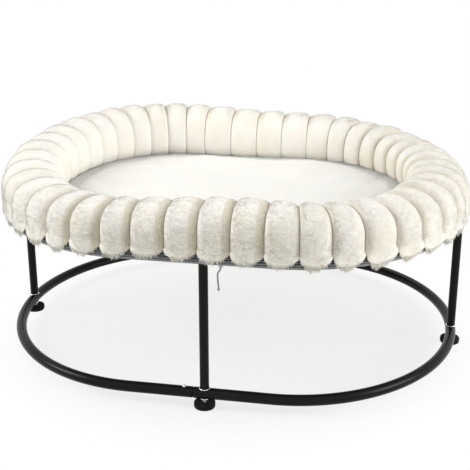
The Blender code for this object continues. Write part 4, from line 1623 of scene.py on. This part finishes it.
@dataclass
class Zip:
    """The zip round the outside of the sleeve, with its slider and pull."""

    oval: Oval
    top_z: float
    tape_in: float = 9.95 * MM
    tape_out: float = 10.35 * MM
    tape_low: float = -7.6 * MM
    tape_high: float = -2.0 * MM
    chain_height: float = -3.6 * MM
    tooth: Triple = (0.9 * MM, 0.6 * MM, 1.3 * MM)
    tooth_pitch: float = 1.9 * MM
    tooth_gap: float = 0.05 * MM
    plate: float = 1.0 * MM
    front_step: float = 0.8 * MM
    slider_rounding: float = 0.35 * MM
    slider_taper: float = 0.45
    columns: int = 480
    rows: int = 16

    def tape_place(self, along: Array, across: Array) -> Array:
        """Where the points of the tape lie."""
        point, normal = self.oval.at(along)
        near, far, low, high = self.tape_in, self.tape_out, self.tape_low, self.tape_high
        corners = ((near, far, far, near, near), (low, low, high, high, low))
        out, height = (np.interp(across, np.linspace(0.0, 1.0, 5), stops) for stops in corners)
        placed = point + normal * out[:, None]
        placed[:, 2] = self.top_z + height
        return placed

    def chain(self) -> Mesh:
        """A closed row of small square teeth round the tape."""
        count = int(self.oval.length() / self.tooth_pitch)
        out = self.tape_out + 0.5 * self.tooth[1] + self.tooth_gap
        level = np.array([0.0, 0.0, self.top_z + self.chain_height])
        size = Matrix.Diagonal((*self.tooth, 1.0))
        shape = bmesh.new()
        for point, normal in zip(*self.oval.at(np.arange(count) / count)):
            place = Matrix.Translation(Vector(point + normal * out + level))
            turn = Matrix.Rotation(math.atan2(normal[1], normal[0]) + 0.5 * math.pi, 4, "Z")
            bmesh.ops.create_cube(shape, size=1.0, matrix=place @ turn @ size)
        return Workshop.to_mesh("zip_chain", shape)

    def slider(self) -> Mesh:
        """The slider: a channel that grips the tape's lower edge, with rounded edges."""
        low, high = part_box("zip_slider")
        back, front, top = high.y - self.plate, low.y + self.plate, high.z - self.front_step
        section = [
            (low.y, low.z), (high.y, low.z), (high.y, top), (back, top),
            (back, low.z + self.plate), (front, low.z + self.plate), (front, high.z), (low.y, high.z),
        ]
        shape = Workshop.extruded([(low.x, y, z) for y, z in section], (high.x - low.x, 0.0, 0.0))
        bottom = [vert for vert in shape.verts if vert.co.z < low.z + 1.5 * self.plate]
        to_middle = Matrix.Translation((-middle(low, high).x, 0.0, 0.0))
        bmesh.ops.scale(shape, verts=bottom, vec=(self.slider_taper, 1.0, 1.0), space=to_middle)
        bmesh.ops.recalc_face_normals(shape, faces=shape.faces)
        bmesh.ops.bevel(shape, geom=list(shape.edges), offset=self.slider_rounding, segments=2, profile=0.5,
                        affect="EDGES", material=-1)
        return Workshop.to_mesh("zip_slider_body", shape)

    def build(self, shop: Workshop) -> None:
        """Make the tape, its teeth and the slider."""
        cloth = (self.oval.length(), self.rows * MM)
        mesh = shop.grid("zip_band", self.columns, self.rows, self.tape_place, cloth)
        shop.piece("zip_band", mesh, Slot.CANVAS_GREY, BODY, ["zip_tape"])
        shop.piece("zip_chain", self.chain(), Slot.ZIP_BLACK, BODY)
        shop.piece("zip_slider_body", self.slider(), Slot.SPRING_STEEL, "zip_pull", ["zip_slider"])


@dataclass
class PullCord:
    """The cord that hangs from the zip's slider, and the knot at its end.

    Its route repeats the construction's: points below the slider, in metres.
    """

    radius: float = 1.1 * MM
    route: tuple[Triple, ...] = (
        (0.0, 0.0, 0.0),
        (-0.0005, -0.0001, -0.0022),
        (-0.0018, -0.0003, -0.0046),
        (-0.0032, -0.0004, -0.0069),
        (-0.0041, -0.0005, -0.0098),
        (-0.0042, -0.0005, -0.0135),
        (-0.0040, -0.0004, -0.0175),
        (-0.0037, -0.0003, -0.0215),
        (-0.0033, -0.0001, -0.0255),
        (-0.0030, 0.0, -0.0293),
    )
    points: int = 28
    knot_steps: int = 12
    knot_width: float = 0.92
    knot_folds: float = 0.12

    def line(self, hang: Vector) -> Array:
        """The smooth centre line of the cord, hung from a point."""
        steps = np.array(self.route)
        travelled = np.concatenate([[0.0], np.cumsum(np.linalg.norm(np.diff(steps, axis=0), axis=1))])
        slopes = np.gradient(steps, travelled, axis=0)
        where = np.linspace(0.0, travelled[-1], self.points)
        index = np.clip(np.searchsorted(travelled, where, side="right") - 1, 0, len(steps) - 2)
        span = (travelled[index + 1] - travelled[index])[:, None]
        part = (where - travelled[index])[:, None] / span
        rest = 1.0 - part
        near = (1.0 + 2.0 * part) * rest ** 2 * steps[index] + part * rest ** 2 * span * slopes[index]
        far = (3.0 - 2.0 * part) * part ** 2 * steps[index + 1] - part ** 2 * rest * span * slopes[index + 1]
        return np.array(hang) + near + far

    def build(self, shop: Workshop) -> None:
        """Make the cord and its knot."""
        low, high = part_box("zip_slider")
        hang = middle(low, high)
        hang.z = low.z - GAP
        points = self.line(hang)
        curve = bpy.data.curves.new("pull_cord", "CURVE")
        curve.dimensions = "3D"
        curve.bevel_depth = self.radius
        curve.bevel_resolution = 4
        curve.use_fill_caps = True
        spline = curve.splines.new("POLY")
        spline.points.add(len(points) - 1)
        for target, point in zip(spline.points, points):
            target.co = (*point, 1.0)
        cord = put("pull_cord", curve)
        shop.finishes.dress(cord, Slot.CORD_GREY)
        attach(cord, "zip_pull")
        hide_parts("zip_pull_cord")
        knot = shop.piece("pull_knot", self.knot(shop), Slot.CORD_GREY, "zip_pull", ["zip_pull_knot"])
        2.0 * self.radius


    def knot(self, shop: Workshop) -> Mesh:
        """The knot: a ball with two soft folds round it."""
        low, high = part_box("zip_pull_knot")
        half, wide = 0.5 * (high.z - low.z), 0.5 * (high.x - low.x) * self.knot_width
        profile = [(0.0, -half)]
        for turn in np.linspace(0.0, math.pi, self.knot_steps + 1)[1:-1]:
            swell = 1.0 + self.knot_folds * math.cos(3.0 * turn)
            profile.append((wide * math.sin(turn) * swell, -half * math.cos(turn)))
        profile.append((0.0, half))
        return shop.turned("pull_knot", profile, middle(low, high), steps=24)


@dataclass
class BaseRing:
    """The ring of bent tube on the floor side, in two halves with a seam at the front and the back."""

    frame: Frame
    oval: Oval
    seat_height: float = 7.1 * MM
    seat_reach: Span = (7.5 * MM, 10.0 * MM)
    bore: float = 6.5 * MM
    plug_depth: float = 6.0 * MM
    chamfer: float = 0.8 * MM
    seam_gap: float = 0.6 * MM
    seam_offset: float = 8.0 * MM
    columns: int = 620
    sides: int = 36

    def build(self, shop: Workshop) -> None:
        """Make both halves."""
        length = self.oval.length()
        front = self.oval.share_near(Vector((-self.seam_offset, -self.oval.half_width, 0.0)))
        back = self.oval.share_near(Vector((self.seam_offset, self.oval.half_width, 0.0)))
        gap = 0.5 * self.seam_gap / length
        for side, start, end in (("right", front - 1.0, back), ("left", back, front)):
            name = f"ring_half_{side}"
            mesh = shop.grid(name, self.columns, self.sides, self.placer(start + gap, end - gap, length))
            shop.piece(name, mesh, Slot.POWDER_BLACK, BODY, [f"base_tube_{side}"], sharp=40.0)

    def placer(self, start: float, end: float, length: float) -> Place:
        """The formula for one half.

        Args:
            start: the share of the oval where it begins.
            end: the share where it stops.
            length: the oval's length.

        Returns:
            A function that places the half's points.
        """
        set_back = np.array([self.plug_depth, self.plug_depth, 0.0, 0.0]) / length
        stops = np.array([0.0, self.bore, self.bore, self.frame.tube_radius - self.chamfer])
        ends = len(stops)
        inset = self.chamfer / length

        def place(along: Array, across: Array) -> Array:
            """Round the tube, with closed ends set back inside the bore and pressed flats at the legs."""
            column = np.round(along * self.columns)
            from_end = np.minimum(column, self.columns - column).astype(int)
            stop = np.minimum(from_end, ends - 1)
            plain = np.clip((column - ends) / (self.columns - 2.0 * ends), 0.0, 1.0)
            share = start + inset + (end - start - 2.0 * inset) * plain
            at_end = np.where(along < 0.5, start + set_back[stop], end - set_back[stop])
            point, normal = self.oval.at(np.mod(np.where(from_end < ends, at_end, share), 1.0))
            radius = np.where(from_end < ends, stops[stop], self.frame.tube_radius)
            angle = TAU * across
            placed = point + normal * (radius * np.cos(angle))[:, None]
            height = radius * np.sin(angle)
            for leg in self.frame.legs.values():
                away = np.linalg.norm(point[:, :2] - np.array(leg.xy), axis=1)
                pressed = np.clip(height, -self.seat_height, self.seat_height)
                height = height + (pressed - height) * (1.0 - smooth_step(away, *self.seat_reach))
            placed[:, 2] = self.frame.base_z + height
            return placed

        return place


@dataclass
class LegSet:
    """The four legs and the bright inserts at their ends."""

    frame: Frame
    radius: float = 6.5 * MM
    chamfer: float = 0.4 * MM
    wall: float = 1.2 * MM
    flange: float = 1.2 * MM
    flange_radius: float = 7.8 * MM
    bead: float = 0.35 * MM
    shank: float = 5.0 * MM
    hole: float = 3.3 * MM

    def build(self, shop: Workshop) -> None:
        """Make every leg."""
        for leg in LEGS:
            low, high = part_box(f"leg_tube_{leg}")
            inner, edge = self.radius - self.wall, self.radius - self.chamfer
            profile = [
                (inner, low.z), (edge, low.z), (self.radius, low.z + self.chamfer),
                (self.radius, high.z - self.chamfer), (edge, high.z), (inner, high.z),
            ]
            mesh = shop.turned(f"leg_{leg}", profile, self.frame.axis(leg))
            shop.piece(f"leg_{leg}", mesh, Slot.POWDER_BLACK, BODY, [f"leg_tube_{leg}"])
            for end in ("lower", "upper"):
                self.insert(shop, leg, end)

    def insert(self, shop: Workshop, leg: str, end: str) -> None:
        """Make the flanged insert at one end of a leg.

        Args:
            shop: makes the piece.
            leg: the leg's name.
            end: lower or upper.
        """
        low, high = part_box(f"leg_insert_{end}_{leg}")
        near, far, sign = (low.z, high.z, 1.0) if end == "lower" else (high.z, low.z, -1.0)
        edge, wide = self.flange_radius - self.bead, self.flange_radius
        seat, bead = near + sign * self.flange, sign * self.bead
        profile = [
            (self.hole, near), (edge, near), (wide, near + bead), (wide, seat - bead), (edge, seat),
            (self.shank, seat), (self.shank, far), (self.hole, far),
        ]
        name = f"insert_{end}_{leg}"
        mesh = shop.turned(name, profile, self.frame.axis(leg))
        shop.piece(name, mesh, Slot.ZINC, BODY, [f"leg_insert_{end}_{leg}"])


@dataclass
class FootSet:
    """The levelling feet: ribbed pucks on bright studs with lock nuts."""

    frame: Frame
    radius: float = 15.2 * MM
    rib_depth: float = 0.9 * MM
    ribs: int = 18
    rib_power: int = 3
    rib_outs: Span = (0.86, 0.97)
    rib_ups: Span = (0.05, 0.3)
    columns: int = 192
    puck: tuple[Span, ...] = (
        (0.0, 0.0), (0.80, 0.0), (0.90, 0.02), (0.95, 0.07), (0.98, 0.15), (0.995, 0.26), (1.0, 0.45),
        (1.0, 0.76), (0.99, 0.87), (0.96, 0.95), (0.91, 0.995), (0.86, 1.0), (0.40, 1.0), (0.25, 0.99),
        (0.24, 0.6), (0.0, 0.6),
    )
    pitch: float = 1.0 * MM
    thread_ends: float = 0.8
    thread_root: float = 0.84
    nut_rounding: float = 0.4 * MM

    def build(self, shop: Workshop) -> None:
        """Make every foot."""
        for leg in LEGS:
            for make in (self.disc, self.stem, self.nut):
                make(shop, leg, self.frame.axis(leg))

    def disc(self, shop: Workshop, leg: str, centre: Vector) -> None:
        """Make the puck of one foot."""
        low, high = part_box(f"foot_disc_{leg}")
        stops = len(self.puck) - 1

        def place(along: Array, across: Array) -> Array:
            """A bulging puck with ribs round its side."""
            out, up = (np.interp(across * stops, range(stops + 1), side) for side in zip(*self.puck))
            rib = self.rib_depth * (0.5 - 0.5 * np.cos(TAU * self.ribs * along)) ** self.rib_power
            rib *= smooth_step(out, *self.rib_outs) * smooth_step(up, *self.rib_ups)
            radius = self.radius * out - rib
            x, y = centre.x + radius * np.cos(TAU * along), centre.y + radius * np.sin(TAU * along)
            return np.stack([x, y, low.z + (high.z - low.z) * up], 1)

        mesh = shop.grid(f"foot_puck_{leg}", self.columns, stops * 2, place)
        shop.piece(f"foot_puck_{leg}", mesh, Slot.FOOT_BLACK, f"foot_{leg}", [f"foot_disc_{leg}"], sharp=50.0)

    def stem(self, shop: Workshop, leg: str, centre: Vector) -> None:
        """Make the threaded stud of one foot."""
        low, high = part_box(f"foot_stud_{leg}")
        radius = 0.5 * (high.x - low.x)
        profile = [(0.0, low.z), (radius * self.thread_ends, low.z)]
        for turn in range(int((high.z - low.z - self.pitch) / self.pitch)):
            shape = ((self.thread_root, 0.25), (1.0, 0.65), (1.0, 0.8))
            profile += [(radius * out, low.z + (turn + up) * self.pitch) for out, up in shape]
        profile += [(radius * self.thread_ends, high.z), (0.0, high.z)]
        mesh = shop.turned(f"stud_{leg}", profile, centre, steps=24)
        shop.piece(f"stud_{leg}", mesh, Slot.ZINC, f"foot_{leg}", [f"foot_stud_{leg}"])

    def nut(self, shop: Workshop, leg: str, centre: Vector) -> None:
        """Make the chamfered lock nut of one foot."""
        low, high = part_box(f"foot_lock_nut_{leg}")
        corner = (high.y - low.y) / math.sqrt(3.0)
        place = Matrix.Translation((centre.x, centre.y, middle(low, high).z))
        shape = bmesh.new()
        bmesh.ops.create_cone(shape, cap_ends=True, segments=6, radius1=corner, radius2=corner,
                              depth=high.z - low.z, matrix=place)
        bmesh.ops.bevel(shape, geom=list(shape.edges), offset=self.nut_rounding, segments=3, profile=0.5,
                        affect="EDGES", material=-1)
        mesh = shop.to_mesh(f"lock_nut_{leg}", shape)
        shop.piece(f"lock_nut_{leg}", mesh, Slot.ZINC, BODY, [f"foot_lock_nut_{leg}"])


@dataclass
class SnapButtons:
    """The bright snap buttons beside the seams of the base ring, and the leaf springs under them."""

    leaf: float = 0.5 * MM
    leaf_width: float = 4.0 * MM
    leaf_length: float = 18.0 * MM
    fold: float = 0.7 * MM
    fold_rise: float = 2.1
    head_bend: float = 0.4
    travel: float = 2.6 * MM
    flange: float = 0.8 * MM
    pin: float = 2.5 * MM
    dome: float = 1.6 * MM
    steps: int = 8

    def spring(self, seam: str, centre: Vector, heel: float) -> Mesh:
        """One spring: a strip folded back on itself, with its open end under the button.

        Args:
            seam: the seam that the spring lies beside.
            centre: the button's place, as seen from above.
            heel: how far both leaves reach past the button's middle.

        Returns:
            The spring's mesh.
        """
        low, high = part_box(f"button_spring_{seam}")
        away = -1.0 if centre.x - low.x > high.x - centre.x else 1.0
        foot, head = low.z + 0.5 * self.leaf, high.z - 0.5 * self.leaf
        tip, fold = self.leaf_length, self.fold
        line = [(-heel, foot), (-0.5 * heel, foot), (tip, foot)]
        for turn in np.linspace(0.0, math.pi, self.steps + 1)[1:-1]:
            line.append((tip + fold * math.sin(turn), foot + fold * (1.0 - math.cos(turn))))
        line += [(tip - fold, foot + self.fold_rise * fold), (heel + fold, head - self.head_bend * fold),
                 (heel, head), (0.0, head), (-heel, head)]
        path = np.array(line)
        along = unit(np.gradient(path, axis=0))
        side = np.stack([-along[:, 1], along[:, 0]], 1) * 0.5 * self.leaf
        edge = np.concatenate([path + side, (path - side)[::-1]])
        start = centre.y - 0.5 * self.leaf_width
        outline = [(centre.x + away * x, start, z) for x, z in edge]
        shape = Workshop.extruded(outline, (0.0, self.leaf_width, 0.0))
        bmesh.ops.triangulate(shape, faces=shape.faces)
        bmesh.ops.recalc_face_normals(shape, faces=shape.faces)
        return Workshop.to_mesh(f"leaf_spring_{seam}", shape)

    def build(self, shop: Workshop) -> None:
        """Make both buttons and both springs."""
        for seam in SEAMS:
            low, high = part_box(f"spring_button_{seam}")
            centre = middle(low, high)
            centre.z = 0.0
            flange, top = 0.5 * (high.x - low.x), low.z + self.flange
            profile = [(0.0, low.z), (flange, low.z), (flange, top), (self.pin, top)]
            for turn in np.linspace(0.0, 0.5 * math.pi, self.steps + 1):
                profile.append((self.pin * math.cos(turn), high.z - self.dome + self.dome * math.sin(turn)))
            mesh = shop.turned(f"button_{seam}", profile, centre, steps=32)
            shop.piece(f"button_{seam}", mesh, Slot.ZINC, f"button_{seam}", [f"spring_button_{seam}"])
            mesh = self.spring(seam, centre, flange)
            leaf = shop.piece(f"leaf_spring_{seam}", mesh, Slot.SPRING_STEEL, BODY, [f"button_spring_{seam}"])
            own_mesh(leaf)


@dataclass(frozen=True)
class Lamp:
    """A square soft lamp that looks at the bed."""

    name: str
    place: Triple
    size: float
    power: float
    aim: Triple = (0.0, 0.0, 0.22)

    def hang(self) -> None:
        """Put the lamp into the scene."""
        data = bpy.data.lights.new(self.name, "AREA")
        data.shape = "SQUARE"
        data.size = self.size
        data.energy = self.power
        look(put(self.name, data), self.place, Vector(self.aim) - Vector(self.place))


@dataclass
class Studio:
    """A white floor and soft light, with the camera at the photographed angle."""

    camera_place: Triple = (0.276, -1.474, 0.6954)
    forward: Triple = (-0.1732, 0.9254, -0.3371)
    focal_pixels: float = 988.0
    frame_pixels: float = 470.0
    sensor: float = 36.0
    clip: Span = (0.05, 60.0)
    floor_size: float = 14.0
    floor_colour: Colour = (0.69, 0.69, 0.64)
    floor_roughness: float = 0.9
    floor_glow: float = 0.76
    floor_fade: Span = (0.27, 0.42)
    ambient: float = 0.6
    lamps: tuple[Lamp, ...] = (
        Lamp("key_lamp", (-2.5, -0.75, 1.6), 1.1, 50.0),
        Lamp("fill_lamp", (2.6, -0.4, 1.2), 1.4, 52.0),
        Lamp("back_lamp", (-0.9, 1.4, 2.7), 1.6, 19.0),
    )

    def camera(self) -> None:
        """Place the camera."""
        data = bpy.data.cameras.new("camera")
        data.sensor_width = self.sensor
        data.lens = self.sensor * self.focal_pixels / self.frame_pixels
        data.clip_start, data.clip_end = self.clip
        camera = put("camera", data)
        look(camera, self.camera_place, Vector(self.forward))
        bpy.context.scene.camera = camera

    def world(self) -> None:
        """White for the camera and for reflections, and a softer level for the light."""
        world = bpy.data.worlds.new("studio")
        bpy.context.scene.world = world
        world.use_nodes = True
        graph = Graph(world.node_tree)
        graph.tree.nodes.clear()
        dim, bright = (
            graph.add("ShaderNodeBackground", {}, {"Color": WHITE, "Strength": strength})
            for strength in (self.ambient, 1.0)
        )
        mix = graph.add("ShaderNodeMixShader", {}, {"Fac": graph.seen(), 1: dim, 2: bright})
        graph.make("ShaderNodeOutputWorld", {}, {"Surface": mix})

    def floor(self) -> None:
        """A white floor that keeps the bed's shadow and fades to plain white further out."""
        shape = bmesh.new()
        bmesh.ops.create_grid(shape, x_segments=2, y_segments=2, size=self.floor_size / 2.0)
        floor = put("floor", Workshop.to_mesh("floor", shape))
        graph = Surface("floor")
        graph.finish(Base_Color=self.floor_colour, Roughness=self.floor_roughness, Specular_IOR_Level=0.0)
        lit = Value(graph, graph.shader.outputs[0])
        glow = graph.add("ShaderNodeEmission", {}, {"Color": WHITE, "Strength": 1.0})
        away = graph.add("ShaderNodeVectorMath", {"operation": "LENGTH"}, {0: graph.place()}, "Value")
        fade = away.smooth(*self.floor_fade) * (1.0 - self.floor_glow) + self.floor_glow
        mix = graph.add("ShaderNodeMixShader", {}, {"Fac": graph.seen() * fade, 1: lit, 2: glow})
        graph.tree.links.new(mix.socket, graph.tree.nodes["Material Output"].inputs["Surface"])
        floor.data.materials.append(graph.material)

    def build(self) -> None:
        """Set up the whole studio."""
        bpy.context.scene.view_settings.view_transform = "Standard"
        self.camera()
        self.world()
        self.floor()
        for lamp in self.lamps:
            lamp.hang()


def dress_frame(frame: dict[str, Any], finishes: Finishes) -> None:
    """Give the CAD nodes that stay their own finishes."""
    slots = {row["node"]: row["material_slot"] for row in frame["record"]["subparts"]}
    for name, node in frame["nodes"].items():
        if not node.hide_render:
            finishes.dress(node, Slot(slots[name]))


def main() -> None:
    """Build the bed's looks in order."""
    logging.basicConfig(level=logging.INFO, format="%(name)s: %(message)s")
    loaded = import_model()
    Studio().build()
    finishes = Finishes()
    shop = Workshop(finishes)
    frame = Frame.read()
    oval = frame.oval()
    assemblies = [
        PullCord(),
        BaseRing(frame, oval),
        LegSet(frame),
        FootSet(frame),
        SnapButtons(),
        CanvasSling(oval, frame.top_z),
        Zip(oval, frame.top_z),
        Bolster(oval, frame.top_z),
        SeatPad(oval, frame.top_z),
    ]
    for assembly in assemblies:
        assembly.build(shop)
        LOG.info("%s is made", type(assembly).__name__)
    dress_frame(loaded, finishes)


if __name__ == "__main__":
    main()
